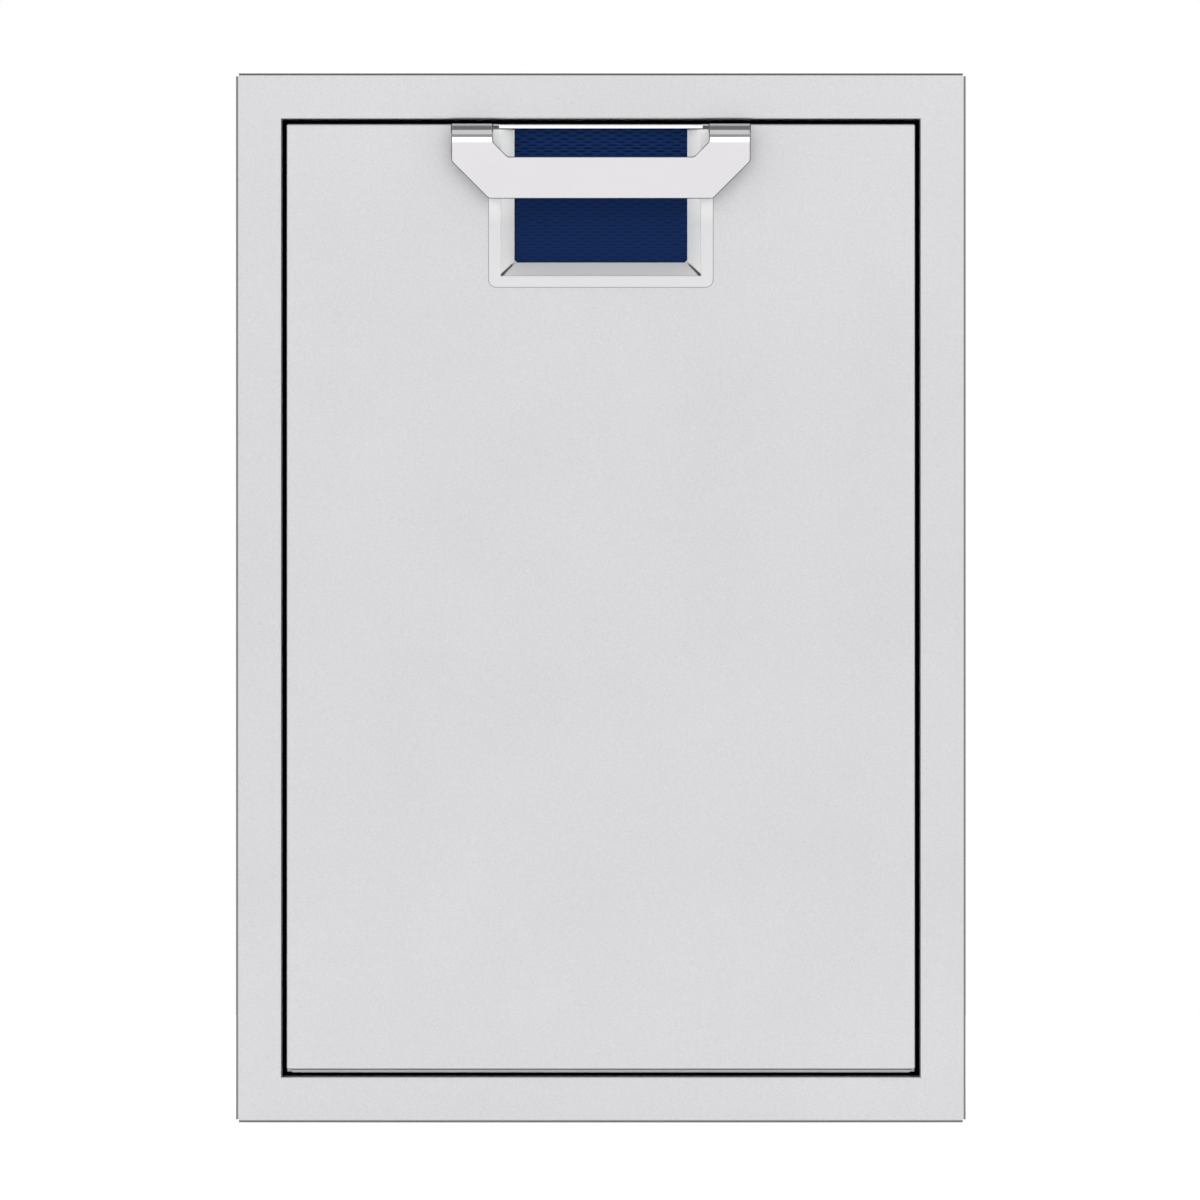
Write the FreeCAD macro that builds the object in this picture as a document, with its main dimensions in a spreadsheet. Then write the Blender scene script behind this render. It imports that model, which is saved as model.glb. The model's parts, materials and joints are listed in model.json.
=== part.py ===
"""Built-in pull-out trash drawer: flanged housing, ball slides, drawer front with finger pocket, two bins.

Frame: X to the right, Y into the counter, Z up. The origin is the middle of the flange's bottom edge,
on the plane that bears against the counter's face. All sizes are in millimetres.
"""
import FreeCAD, Part
import math
import os
import re
import Sketcher
from FreeCAD import Placement, Rotation, Vector

# Driving dimensions
SIZES = {
    "frame_width": 508.0,
    "frame_height": 730.25,
    "frame_face": 31.75,
    "frame_depth": 12.7,
    "frame_sheet": 1.2,
    "frame_bend": 1.6,
    "corner_relief": 2.0,
    "lip_width": 9.0,
    "gasket_thick": 3.5,
    "gasket_inset": 0.4,
    "running_gap": 0.3,
    "front_gap": 3.5,
    "front_gap_low": 3.0,
    "front_thickness": 22.0,
    "front_sheet": 1.2,
    "front_bend": 1.4,
    "drip_edge": 2.2,
    "drip_inset": 4.1,
    "drip_relief": 0.7,
    "liner_sheet": 0.9,
    "liner_flange": 12.0,
    "rim_height": 3.0,
    "rim_bend": 1.4,
    "rim_half": 70.9,
    "rim_notch": 3.9,
    "rim_notch_deep": 9.0,
    "pocket_half": 69.7,
    "pocket_drop": 105.9,
    "bevel_run": 9.5,
    "bezel_face": 8.3,
    "bezel_foot": 7.6,
    "bezel_sheet": 1.0,
    "bezel_corner": 5.2,
    "mitre_gap": 1.5,
    "mitre_gap_deep": 0.8,
    "window_clear": 0.8,
    "accent_sheet": 1.0,
    "accent_overlap": 1.5,
    "accent_corner": 5.0,
    "backing_sheet": 1.0,
    "handle_half": 104.0,
    "handle_leg": 28.7,
    "handle_band": 28.6,
    "handle_drop": 23.6,
    "handle_chamfer": 26.0,
    "handle_plate": 5.0,
    "handle_reach": 28.0,
    "handle_bend": 12.7,
    "handle_round": 3.0,
    "handle_edge": 0.5,
    "heel_bend": 8.0,
    "heel_drop": 30.0,
    "heel_plate": 2.0,
    "handle_clear": 0.4,
    "handle_screw": 5.0,
    "handle_screw_pitch": 14.0,
    "handle_screw_drop": 19.0,
    "housing_sheet": 1.2,
    "housing_flange": 12.0,
    "housing_bend": 1.8,
    "rear_room": 8.5,
    "mount_hole": 6.0,
    "mount_hole_front": 26.0,
    "mount_hole_run": 420.0,
    "mount_hole_drop": 49.5,
    "mount_hole_rise": 140.0,
    "slide_length": 500.0,
    "slide_width": 12.7,
    "slide_rise": 65.0,
    "slide_setback": 1.0,
    "rail_height": 45.5,
    "rail_sheet": 1.4,
    "rail_gap": 1.0,
    "rail_clear": 0.3,
    "rail_corner": 1.8,
    "rail_stop": 12.0,
    "rail_hole_first": 35.0,
    "rail_screw": 4.0,
    "outer_ball": 4.4,
    "inner_ball": 4.0,
    "ball_gap": 0.15,
    "ball_groove": 0.6,
    "ball_margin": 15.0,
    "cage_sheet": 0.6,
    "cage_margin": 3.5,
    "bumper_thick": 3.0,
    "bumper_height": 18.0,
    "tray_clear": 11.25,
    "tray_height": 130.0,
    "tray_sheet": 1.2,
    "tray_bend": 2.0,
    "bracket_sheet": 1.2,
    "bracket_overlap": 45.0,
    "bracket_rise": 290.0,
    "bracket_reach": 175.0,
    "bracket_top": 30.0,
    "bracket_flange": 18.0,
    "rivet": 3.2,
    "bin_front_room": 4.5,
    "bin_gap": 10.0,
    "bin_rear_room": 6.0,
    "bin_side_room": 8.0,
    "bin_height": 520.0,
    "bin_taper": 18.0,
    "bin_wall": 2.5,
    "bin_corner": 30.0,
    "bin_rim": 11.0,
    "bin_rim_lip": 14.0,
    "divider_width": 24.0,
    "divider_height": 40.0,
    "stop_height": 30.0,
    "stop_room": 4.0,
}
BALLS_IN_ROW = 5
RAIL_SCREWS = 4
LEFT = -1
RIGHT = 1
SIDE_NAMES = {LEFT: "left", RIGHT: "right"}

doc = FreeCAD.newDocument("TrashDrawer")
sheet = doc.addObject("Spreadsheet::Sheet", "Sizes")
for row, (alias, size) in enumerate(SIZES.items(), start=1):
    sheet.set(f"A{row}", alias)
    sheet.set(f"B{row}", str(size))
    sheet.setAlias(f"B{row}", alias)
doc.recompute()

# Places that follow from the driving dimensions, as formulas in the sheet's words
HALF_OPEN = "(frame_width / 2 - frame_face)"
OPEN_TOP = "(frame_height - frame_face)"
FACE = "(-frame_depth)"
FRONT_BACK = "(front_thickness - frame_depth)"
LIP_FRONT = f"({FRONT_BACK} + gasket_thick + running_gap)"
LIP_BACK = f"({LIP_FRONT} + frame_sheet)"
INNER_HALF = f"({HALF_OPEN} - lip_width)"
BASE_TOP = "(frame_face + lip_width)"
HOUSING_TOP = f"({OPEN_TOP} - lip_width)"
FRONT_HALF = f"({HALF_OPEN} - front_gap)"
FRONT_TOP = f"({OPEN_TOP} - front_gap)"
FRONT_LOW = "(frame_face + front_gap_low)"
SKIN_BACK = f"({FRONT_BACK} - liner_sheet)"
WINDOW_LOW = f"({FRONT_TOP} - pocket_drop)"
BEZEL_FRONT = f"({FACE} - bezel_sheet)"
FLAP_SKEW = "(bezel_sheet * sqrt(2))"
ACCENT_FRONT = f"({BEZEL_FRONT} + bevel_run + {FLAP_SKEW})"
ACCENT_BACK = f"({ACCENT_FRONT} + accent_sheet)"
ACCENT_HALF = "(pocket_half - bevel_run + accent_overlap)"
ACCENT_LOW = f"({WINDOW_LOW} + bevel_run - accent_overlap)"
ACCENT_TOP = f"({FRONT_TOP} - front_sheet - running_gap)"
LEG_IN = "(handle_half - handle_leg)"
FOOT_TOP = FRONT_TOP
HANDLE_FRONT = f"({FACE} - handle_reach)"
BEND_LOW = f"({FOOT_TOP} - handle_bend)"
BAND_TOP = f"({FRONT_TOP} - handle_drop)"
BAND_LOW = f"({BAND_TOP} - handle_band)"
HEEL_BACK = f"({SKIN_BACK} - heel_plate)"
HEEL_LOW = f"({FOOT_TOP} - heel_drop)"
NOTCH_BACK = f"({HEEL_BACK} - heel_bend / 2 + handle_clear)"
SLIDE_FRONT = f"({LIP_BACK} + housing_sheet + slide_setback)"
SLIDE_BACK = f"({SLIDE_FRONT} + slide_length)"
REAR_FACE = f"({SLIDE_BACK} + rear_room)"
HOUSING_BACK = f"({REAR_FACE} + housing_sheet)"
TRAY_HALF = f"({INNER_HALF} - slide_width)"
TRAY_INSIDE = f"({TRAY_HALF} - tray_sheet)"
TRAY_LOW = f"({BASE_TOP} + tray_clear)"
TRAY_FLOOR = f"({TRAY_LOW} + tray_sheet)"
TRAY_TOP = f"({TRAY_LOW} + tray_height)"
SLIDE_LEVEL = f"({TRAY_LOW} + slide_rise)"
OUTER_RISE = "(rail_height / 2 - rail_sheet + ball_groove - ball_gap - outer_ball / 2)"
MIDDLE_HALF = f"({OUTER_RISE} - outer_ball / 2 - ball_gap + ball_groove)"
INNER_RISE = f"({MIDDLE_HALF} - rail_sheet + ball_groove - ball_gap - inner_ball / 2)"
INNER_RAIL_HALF = f"({INNER_RISE} - inner_ball / 2 - ball_gap + ball_groove)"
OUTER_REACH = "(slide_width - rail_sheet - rail_clear)"
MIDDLE_WEB = "(rail_sheet + rail_gap)"
INNER_TIP = f"({MIDDLE_WEB} + rail_sheet + rail_gap)"
OUTER_BALL_IN = f"({OUTER_REACH} / 2)"
INNER_BALL_IN = f"(({MIDDLE_WEB} + slide_width) / 2)"
CAGE_FRONT = f"({SLIDE_FRONT} + slide_length / 4 + cage_margin)"
CAGE_LENGTH = "(slide_length / 2 - rail_stop - 2 * cage_margin)"
BIN_FRONT = f"({LIP_BACK} + housing_sheet + bin_front_room)"
BIN_LIMIT = "(slide_length - frame_depth - bin_rear_room)"
BIN_DEPTH = f"(({BIN_LIMIT} - {BIN_FRONT} - bin_gap) / 2)"
BIN_HALF = f"({TRAY_INSIDE} - bracket_sheet - bin_side_room)"
BRACKET_INSIDE = f"({TRAY_INSIDE} - bracket_sheet)"
BRACKET_LOW = f"({TRAY_TOP} - bracket_overlap)"
BRACKET_TOP = f"({TRAY_TOP} + bracket_rise)"
TRAY_FRONT = f"({FRONT_BACK} + tray_sheet)"


def bound(formula):
    """A formula in the sheet's words, as an expression that any object of the document can hold."""
    def link(word):
        return f"Sizes.{word.group()}" if word.group() in SIZES else word.group()
    return re.sub(r"[a-z_]+", link, str(formula))


def number(formula):
    """What a formula comes to now."""
    return float(sheet.evalExpression(str(formula)))


def mirrored(side, formula):
    """A distance from the middle plane, taken to the left or to the right."""
    return f"{side} * ({formula})"


def new_body(label):
    body = doc.addObject("PartDesign::Body", label)
    body.Label = label
    return body


def new_sketch(body, name, plane, level):
    """An empty sketch on one of the body's own planes, at a level along the axis square to it."""
    sketch = body.newObject("Sketcher::SketchObject", name)
    support = next(item for item in body.Origin.OriginFeatures if item.Role == f"{plane}_Plane")
    sketch.AttachmentSupport = [(support, "")]
    sketch.MapMode = "FlatFace"
    away = f"-1 * ({level})" if plane == "XZ" else level
    sketch.setExpression("AttachmentOffset.Base.z", bound(away))
    return sketch


def fix_point(sketch, item, end, corner):
    """Tie one point of the sketch to its two formulas."""
    for kind, formula in zip(("DistanceX", "DistanceY"), corner):
        index = sketch.addConstraint(Sketcher.Constraint(kind, -1, 1, item, end, number(formula)))
        sketch.setExpression(f"Constraints[{index}]", bound(formula))


def fix_radius(sketch, item, formula):
    index = sketch.addConstraint(Sketcher.Constraint("Radius", item, number(formula)))
    sketch.setExpression(f"Constraints[{index}]", bound(formula))


def corner_arc(before, corner, after, radius):
    """The arc that rounds a corner, its first and last points, and whether it runs the outline's way."""
    back = (before - corner).normalize()
    ahead = (after - corner).normalize()
    half_angle = math.acos(max(-1.0, min(1.0, back.dot(ahead)))) / 2
    run = radius / math.tan(half_angle)
    first = corner + back * run
    last = corner + ahead * run
    centre = corner + (back + ahead).normalize() * (radius / math.sin(half_angle))
    forward = back.cross(ahead).z < 0
    start, stop = (first, last) if forward else (last, first)
    start_angle = math.atan2(start.y - centre.y, start.x - centre.x)
    stop_angle = math.atan2(stop.y - centre.y, stop.x - centre.x)
    circle = Part.Circle(centre, Vector(0, 0, 1), radius)
    return Part.ArcOfCircle(circle, start_angle, stop_angle), first, last, forward


def outline(sketch, corners):
    """A closed outline through corners (x, y), or (x, y, radius) for a rounded one, all formulas."""
    points = [Vector(number(corner[0]), number(corner[1]), 0) for corner in corners]
    count = len(corners)
    arcs = {}
    starts = list(points)
    ends = list(points)
    for index, corner in enumerate(corners):
        if len(corner) == 3:
            before, after = points[index - 1], points[(index + 1) % count]
            arc, ends[index], starts[index], forward = corner_arc(
                before, points[index], after, number(corner[2]))
            arcs[index] = (arc, forward)
    lines = [sketch.addGeometry(Part.LineSegment(starts[index], ends[(index + 1) % count]))
             for index in range(count)]
    for index, corner in enumerate(corners):
        arriving, leaving = lines[index - 1], lines[index]
        if index not in arcs:
            sketch.addConstraint(Sketcher.Constraint("Coincident", arriving, 2, leaving, 1))
            fix_point(sketch, leaving, 1, corner[:2])
            continue
        arc, forward = arcs[index]
        rounding = sketch.addGeometry(arc)
        first_end, last_end = (1, 2) if forward else (2, 1)
        sketch.addConstraint(Sketcher.Constraint("Tangent", arriving, 2, rounding, first_end))
        sketch.addConstraint(Sketcher.Constraint("Tangent", rounding, last_end, leaving, 1))
        fix_radius(sketch, rounding, corner[2])
        sharp = sketch.addGeometry(Part.Point(points[index]), True)
        fix_point(sketch, sharp, 1, corner[:2])
        sketch.addConstraint(Sketcher.Constraint("PointOnObject", sharp, 1, arriving))
        sketch.addConstraint(Sketcher.Constraint("PointOnObject", sharp, 1, leaving))


def box_corners(low_x, high_x, low_y, high_y, *radius):
    """The four corners of a rectangle, rounded where a radius is given."""
    return [(low_x, low_y, *radius), (high_x, low_y, *radius),
            (high_x, high_y, *radius), (low_x, high_y, *radius)]


def ring_corners(half_width, low, high):
    return box_corners(f"-{half_width}", half_width, low, high)


def circles(sketch, places, radius):
    for x, y in places:
        middle = Vector(number(x), number(y), 0)
        item = sketch.addGeometry(Part.Circle(middle, Vector(0, 0, 1), number(radius)))
        fix_point(sketch, item, 3, (x, y))
        fix_radius(sketch, item, radius)


def pad(body, name, plane, level, loops, length, towards):
    """Material between a level and a length further towards +1 or -1 along the plane's axis."""
    sketch = new_sketch(body, f"{name}_sketch", plane, level)
    for loop in loops:
        outline(sketch, loop)
    feature = body.newObject("PartDesign::Pad", name)
    feature.Profile = sketch
    feature.setExpression("Length", bound(length))
    feature.Reversed = (towards > 0) == (plane == "XZ")
    doc.recompute()
    return feature


def pocket(body, name, plane, level, draw, length, towards):
    """The same, taken away, with the outline drawn by a function. A cut that misses is an error."""
    before = body.Shape.Volume
    sketch = new_sketch(body, f"{name}_sketch", plane, level)
    draw(sketch)
    feature = body.newObject("PartDesign::Pocket", name)
    feature.Profile = sketch
    feature.setExpression("Length", bound(length))
    feature.Reversed = (towards > 0) != (plane == "XZ")
    doc.recompute()
    if body.Shape.Volume > before - 1e-3:
        raise RuntimeError(f"{body.Label}: {name} cuts nothing")
    return feature


def cut(body, name, plane, level, loops, length, towards):
    def draw(sketch):
        for loop in loops:
            outline(sketch, loop)
    return pocket(body, name, plane, level, draw, length, towards)


def loft(body, name, plane, sections, kind="PartDesign::AdditiveLoft"):
    """A straight-sided solid through outlines, given as (level, corners)."""
    sketches = []
    for index, (level, corners) in enumerate(sections):
        sketch = new_sketch(body, f"{name}_section_{index}", plane, level)
        outline(sketch, corners)
        sketches.append(sketch)
    feature = body.newObject(kind, name)
    feature.Profile = sketches[0]
    feature.Sections = sketches[1:]
    feature.Ruled = True
    doc.recompute()
    return feature


def dress_edges(body, name, kind, measure, size, wanted):
    """Work the edges for which wanted(edge) holds."""
    base = body.Tip
    names = [f"Edge{index}" for index, edge in enumerate(base.Shape.Edges, start=1) if wanted(edge)]
    if not names:
        raise RuntimeError(f"{body.Label}: {name} finds no edge")
    feature = body.newObject(kind, name)
    feature.Base = (base, names)
    feature.setExpression(measure, bound(size))
    doc.recompute()
    return feature


def fillet(body, name, radius, wanted):
    return dress_edges(body, name, "PartDesign::Fillet", "Radius", radius, wanted)


def chamfer(body, name, size, wanted):
    return dress_edges(body, name, "PartDesign::Chamfer", "Size", size, wanted)


def near(value, formula):
    return abs(value - number(formula)) < 1e-4


def runs_at(edge, **levels):
    """Whether every point of an edge lies at the given levels, such as y=FACE."""
    return all(near(getattr(vertex.Point, axis), formula)
               for vertex in edge.Vertexes for axis, formula in levels.items())


def primitive(kind, label, place, turn, **sizes):
    """A Part solid whose sizes and place follow formulas."""
    item = doc.addObject(kind, label)
    for name, formula in sizes.items():
        item.setExpression(name, bound(formula))
    item.Placement = Placement(Vector(*(number(formula) for formula in place)), turn)
    for axis, formula in zip("xyz", place):
        item.setExpression(f"Placement.Base.{axis}", bound(formula))
    return item


def group(label, members):
    compound = doc.addObject("Part::Compound", label)
    compound.Label = label
    compound.Links = members
    doc.recompute()
    return compound


ALONG = {"+X": Rotation(Vector(0, 0, 1), Vector(1, 0, 0)), "-X": Rotation(Vector(0, 0, 1), Vector(-1, 0, 0)),
         "+Y": Rotation(Vector(0, 0, 1), Vector(0, 1, 0)), "-Y": Rotation(Vector(0, 0, 1), Vector(0, -1, 0))}


def fastener(label, seat, outward, diameter, sides):
    """The head of a screw or rivet on its seat, standing out one way."""
    head = primitive("Part::Prism", label, seat, ALONG[outward], Circumradius=f"{diameter} * 0.95",
                     Height=f"{diameter} * 0.5")
    head.Polygon = sides
    return head


def across(side, inward):
    """A place in the slide's thickness, counted inwards from the housing's inner face."""
    return mirrored(side, f"{INNER_HALF} - {inward}")


def rail_places():
    """How far back each screw of a rail stands."""
    pitch = f"((slide_length - 2 * rail_hole_first) / {RAIL_SCREWS - 1})"
    return [f"({SLIDE_FRONT} + rail_hole_first + {index} * {pitch})" for index in range(RAIL_SCREWS)]


# Housing


def face_frame():
    """Folded flange: face, outer returns with relieved corners, throat and stop lip."""
    body = new_body("face_frame")
    half_width = "(frame_width / 2)"
    pad(body, "flange", "XZ", FACE, [ring_corners(half_width, "0", "frame_height")], "frame_depth", 1)
    fillet(body, "outer_bend", "frame_bend", lambda edge: runs_at(edge, y=FACE))
    cut(body, "hollow", "XZ", "0",
        [ring_corners(f"({half_width} - frame_sheet)", "frame_sheet", "(frame_height - frame_sheet)")],
        "frame_depth - frame_sheet", -1)
    opening = ring_corners(HALF_OPEN, "frame_face", OPEN_TOP)
    cut(body, "opening", "XZ", "0", [opening], "frame_depth", -1)
    jamb = ring_corners(f"({HALF_OPEN} + frame_sheet)", "(frame_face - frame_sheet)",
                        f"({OPEN_TOP} + frame_sheet)")
    pad(body, "throat", "XZ", FACE, [jamb, opening], f"{LIP_BACK} + frame_depth", 1)
    lip = [jamb, ring_corners(INNER_HALF, BASE_TOP, HOUSING_TOP)]
    pad(body, "stop_lip", "XZ", LIP_FRONT, lip, "frame_sheet", 1)

    def is_throat(edge):
        widest = max(abs(vertex.X) for vertex in edge.Vertexes)
        return runs_at(edge, y=FACE) and widest < number(HALF_OPEN) + 1e-3
    fillet(body, "throat_bend", "front_bend", is_throat)
    reliefs = []
    for side in (LEFT, RIGHT):
        inner = mirrored(side, f"{half_width} - corner_relief")
        outer = mirrored(side, f"{half_width} + corner_relief")
        for corner in ("0", "frame_height"):
            reliefs.append(box_corners(inner, outer, f"({corner} - corner_relief)",
                                       f"({corner} + corner_relief)"))
    cut(body, "corner_reliefs", "XZ", "0", reliefs, "frame_depth", -1)
    return body


def frame_gasket():
    """Black seal on the stop lip, behind the gap round the front."""
    body = new_body("frame_gasket")
    outer = ring_corners(f"({HALF_OPEN} - gasket_inset)", "(frame_face + gasket_inset)",
                         f"({OPEN_TOP} - gasket_inset)")
    inner = ring_corners(f"({INNER_HALF} + gasket_inset)", f"({BASE_TOP} - gasket_inset)",
                         f"({HOUSING_TOP} + gasket_inset)")
    pad(body, "seal", "XZ", LIP_FRONT, [outer, inner], "gasket_thick", -1)
    return body


def side_panel(side):
    """Housing wall: flange behind the stop lip, rear flange for the back panel, top edge turned out."""
    body = new_body(f"{SIDE_NAMES[side]}_side_panel")
    outside = f"({INNER_HALF} + housing_sheet)"
    rear = f"({INNER_HALF} - housing_flange)"
    section = [(mirrored(side, f"{INNER_HALF} + lip_width"), LIP_BACK),
               (mirrored(side, f"{INNER_HALF} + lip_width"), f"({LIP_BACK} + housing_sheet)"),
               (mirrored(side, outside), f"({LIP_BACK} + housing_sheet)"),
               (mirrored(side, outside), REAR_FACE, "housing_bend"),
               (mirrored(side, rear), REAR_FACE),
               (mirrored(side, rear), f"({REAR_FACE} - housing_sheet)"),
               (mirrored(side, INNER_HALF), f"({REAR_FACE} - housing_sheet)"),
               (mirrored(side, INNER_HALF), LIP_BACK)]
    low = f"({BASE_TOP} - housing_sheet)"
    pad(body, "wall", "XY", low, [section], f"{HOUSING_TOP} - {low}", 1)
    turned = box_corners(mirrored(side, INNER_HALF), mirrored(side, f"{INNER_HALF} + housing_flange"),
                         f"({LIP_BACK} + housing_sheet)", f"({REAR_FACE} - housing_bend)")
    pad(body, "top_edge", "XY", HOUSING_TOP, [turned], "housing_sheet", -1)
    mounts = [(f"({LIP_BACK} + mount_hole_front + {run} * mount_hole_run)",
               f"({HOUSING_TOP} - mount_hole_drop - {rise} * mount_hole_rise)")
              for run in (0, 1) for rise in (0, 1)]
    pocket(body, "mount_holes", "YZ", mirrored(side, INNER_HALF),
           lambda sketch: circles(sketch, mounts, "(mount_hole / 2)"), "housing_sheet", side)
    return body


def housing_rivet_places(side):
    pitch = f"(({HOUSING_TOP} - {BASE_TOP} - housing_flange * 4) / 4)"
    return [(mirrored(side, f"{INNER_HALF} - housing_flange / 2"),
             f"({BASE_TOP} + housing_flange * 2 + {index} * {pitch})") for index in range(5)]


def base_panel():
    """Housing floor, turned up at its sides and down behind the stop lip."""
    body = new_body("base_panel")
    low = f"({BASE_TOP} - housing_sheet)"
    rim = f"({BASE_TOP} + housing_flange)"
    inside = f"({INNER_HALF} - housing_sheet)"
    section = [(f"-{INNER_HALF}", low, "housing_bend"), (INNER_HALF, low, "housing_bend"), (INNER_HALF, rim),
               (inside, rim), (inside, BASE_TOP), (f"-{inside}", BASE_TOP), (f"-{inside}", rim),
               (f"-{INNER_HALF}", rim)]
    start = f"({LIP_BACK} + housing_sheet)"
    pad(body, "floor", "XZ", start, [section], f"{REAR_FACE} - housing_sheet - {start}", 1)
    flange = ring_corners(INNER_HALF, "frame_face", BASE_TOP)
    pad(body, "front_flange", "XZ", LIP_BACK, [flange], "housing_sheet", 1)
    return body


def back_panel():
    body = new_body("back_panel")
    plate = ring_corners(f"({INNER_HALF} + housing_sheet)", f"({BASE_TOP} - housing_sheet)", HOUSING_TOP)
    pad(body, "plate", "XZ", REAR_FACE, [plate], "housing_sheet", 1)
    turned = ring_corners(f"({INNER_HALF} - housing_flange - housing_bend)",
                          f"({HOUSING_TOP} - housing_sheet)", HOUSING_TOP)
    pad(body, "top_edge", "XZ", REAR_FACE, [turned], "housing_flange", -1)
    return body


def housing_rivets():
    members = []
    for side in (LEFT, RIGHT):
        for index, (x, z) in enumerate(housing_rivet_places(side)):
            label = f"{SIDE_NAMES[side]}_back_rivet_{index}"
            members.append(fastener(label, (x, HOUSING_BACK, z), "+Y", "rivet", 8))
    return group("housing_rivets", members)


# Ball slides


def rail(label, side, section, length, grooves):
    """A rolled channel along the slide, with its ball tracks."""
    body = new_body(label)
    corners = [(across(side, corner[0]), f"({SLIDE_LEVEL} + {corner[1]})", *corner[2:]) for corner in section]
    pad(body, "channel", "XZ", SLIDE_FRONT, [corners], length, 1)
    for index, (inward, rise, ball) in enumerate(grooves):
        places = [(across(side, inward), f"({SLIDE_LEVEL} + {up} * {rise})") for up in (1, -1)]
        pocket(body, f"ball_track_{index}", "XZ", SLIDE_FRONT,
               lambda sketch: circles(sketch, places, f"({ball} / 2 + ball_gap)"), length, 1)
    return body


def channel_section(web, tip, half, sheet_size):
    """A plain channel, its web at one place across the slide and its flanges reaching to another."""
    inner_web = f"({web} + {sheet_size})"
    inner_half = f"({half} - rail_sheet)"
    return [(web, f"-{half}", "rail_corner"), (web, half, "rail_corner"), (tip, half), (tip, inner_half),
            (inner_web, inner_half), (inner_web, f"-{inner_half}"), (tip, f"-{inner_half}"),
            (tip, f"-{half}")]


def outer_rail(side):
    half = "(rail_height / 2)"
    inner_half = f"({half} - rail_sheet)"
    lip_end = f"({MIDDLE_HALF} + ball_groove)"
    lip_web = f"({OUTER_REACH} - rail_sheet)"
    upper = [("0", half, "rail_corner"), (OUTER_REACH, half, "rail_corner"), (OUTER_REACH, lip_end),
             (lip_web, lip_end), (lip_web, inner_half), ("rail_sheet", inner_half)]
    section = upper + [(inward, f"-{rise}", *rounding) for inward, rise, *rounding in reversed(upper)]
    return rail(f"{SIDE_NAMES[side]}_outer_rail", side, section, "slide_length",
                [(OUTER_BALL_IN, OUTER_RISE, "outer_ball")])


def middle_rail(side):
    section = channel_section(MIDDLE_WEB, "(slide_width - rail_sheet - rail_gap)", MIDDLE_HALF, "rail_sheet")
    return rail(f"{SIDE_NAMES[side]}_middle_rail", side, section, "slide_length - rail_stop",
                [(OUTER_BALL_IN, OUTER_RISE, "outer_ball"), (INNER_BALL_IN, INNER_RISE, "inner_ball")])


def inner_rail(side):
    section = channel_section("slide_width", INNER_TIP, INNER_RAIL_HALF, "-rail_sheet")
    return rail(f"{SIDE_NAMES[side]}_inner_rail", side, section, "slide_length",
                [(INNER_BALL_IN, INNER_RISE, "inner_ball")])


def ball_pitch():
    return f"(({CAGE_LENGTH} - 2 * ball_margin) / {BALLS_IN_ROW - 1})"


def ball_cage(label, side, web_middle, inward, rise, ball):
    """Thin channel between two rails, with a window for each ball."""
    body = new_body(label)
    near_web = f"({web_middle} - cage_sheet / 2)"
    far_web = f"({web_middle} + cage_sheet / 2)"
    tip = f"(2 * {inward} - {far_web})"
    high = f"({rise} + cage_sheet / 2)"
    low = f"({rise} - cage_sheet / 2)"
    section = [(near_web, f"-{high}"), (near_web, high), (tip, high), (tip, low), (far_web, low),
               (far_web, f"-{low}"), (tip, f"-{low}"), (tip, f"-{high}")]
    corners = [(across(side, u), f"({SLIDE_LEVEL} + {v})") for u, v in section]
    pad(body, "strip", "XZ", CAGE_FRONT, [corners], CAGE_LENGTH, 1)
    room = f"({ball} / 2 + ball_gap)"
    windows = []
    for index in range(BALLS_IN_ROW):
        middle = f"({CAGE_FRONT} + ball_margin + {index} * {ball_pitch()})"
        windows.append(box_corners(across(side, f"({inward} + {room})"), across(side, f"({inward} - {room})"),
                                   f"({middle} - {room})", f"({middle} + {room})"))
    cut(body, "windows", "XY", f"({SLIDE_LEVEL} - {high})", windows, f"2 * {high}", 1)
    return body


def hexagon(x, y, radius):
    """Six corners round a middle point."""
    turns = [math.radians(60 * index) for index in range(6)]
    return [(f"({x} + {radius} * {math.cos(turn):.6f})", f"({y} + {radius} * {math.sin(turn):.6f})")
            for turn in turns]


def balls(label, side, inward, rise, ball):
    """Two rows of balls, drawn with few faces, one under each flange of the rails."""
    body = new_body(label)
    body.AllowCompound = True
    x = across(side, inward)
    first = f"({CAGE_FRONT} + ball_margin)"
    bands = [(-0.42, 0.27), (-0.2, 0.458), (0.2, 0.458), (0.42, 0.27)]
    rows = []
    for name, up in (("upper", 1), ("lower", -1)):
        level = f"({SLIDE_LEVEL} + {up} * {rise})"
        sections = [(f"({level} + {ball} * {lift})", hexagon(x, first, f"({ball} * {share})"))
                    for lift, share in bands]
        rows.append(loft(body, f"{name}_ball", "XY", sections))
    pattern = body.newObject("PartDesign::LinearPattern", "rows")
    pattern.Originals = rows
    pattern.Direction = (next(item for item in body.Origin.OriginFeatures if item.Role == "Y_Axis"), [""])
    pattern.setExpression("Length", bound(f"{BALLS_IN_ROW - 1} * {ball_pitch()}"))
    pattern.Occurrences = BALLS_IN_ROW
    body.Tip = pattern
    doc.recompute()
    return body


def slide(side):
    """The three rails of one slide, its two cages and their balls."""
    name = SIDE_NAMES[side]
    outer_web = "(rail_sheet + rail_gap / 2)"
    inner_web = f"({INNER_TIP} - rail_gap / 2)"
    return [outer_rail(side), middle_rail(side), inner_rail(side),
            ball_cage(f"{name}_outer_cage", side, outer_web, OUTER_BALL_IN, OUTER_RISE, "outer_ball"),
            ball_cage(f"{name}_inner_cage", side, inner_web, INNER_BALL_IN, INNER_RISE, "inner_ball"),
            balls(f"{name}_outer_balls", side, OUTER_BALL_IN, OUTER_RISE, "outer_ball"),
            balls(f"{name}_inner_balls", side, INNER_BALL_IN, INNER_RISE, "inner_ball")]


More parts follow.
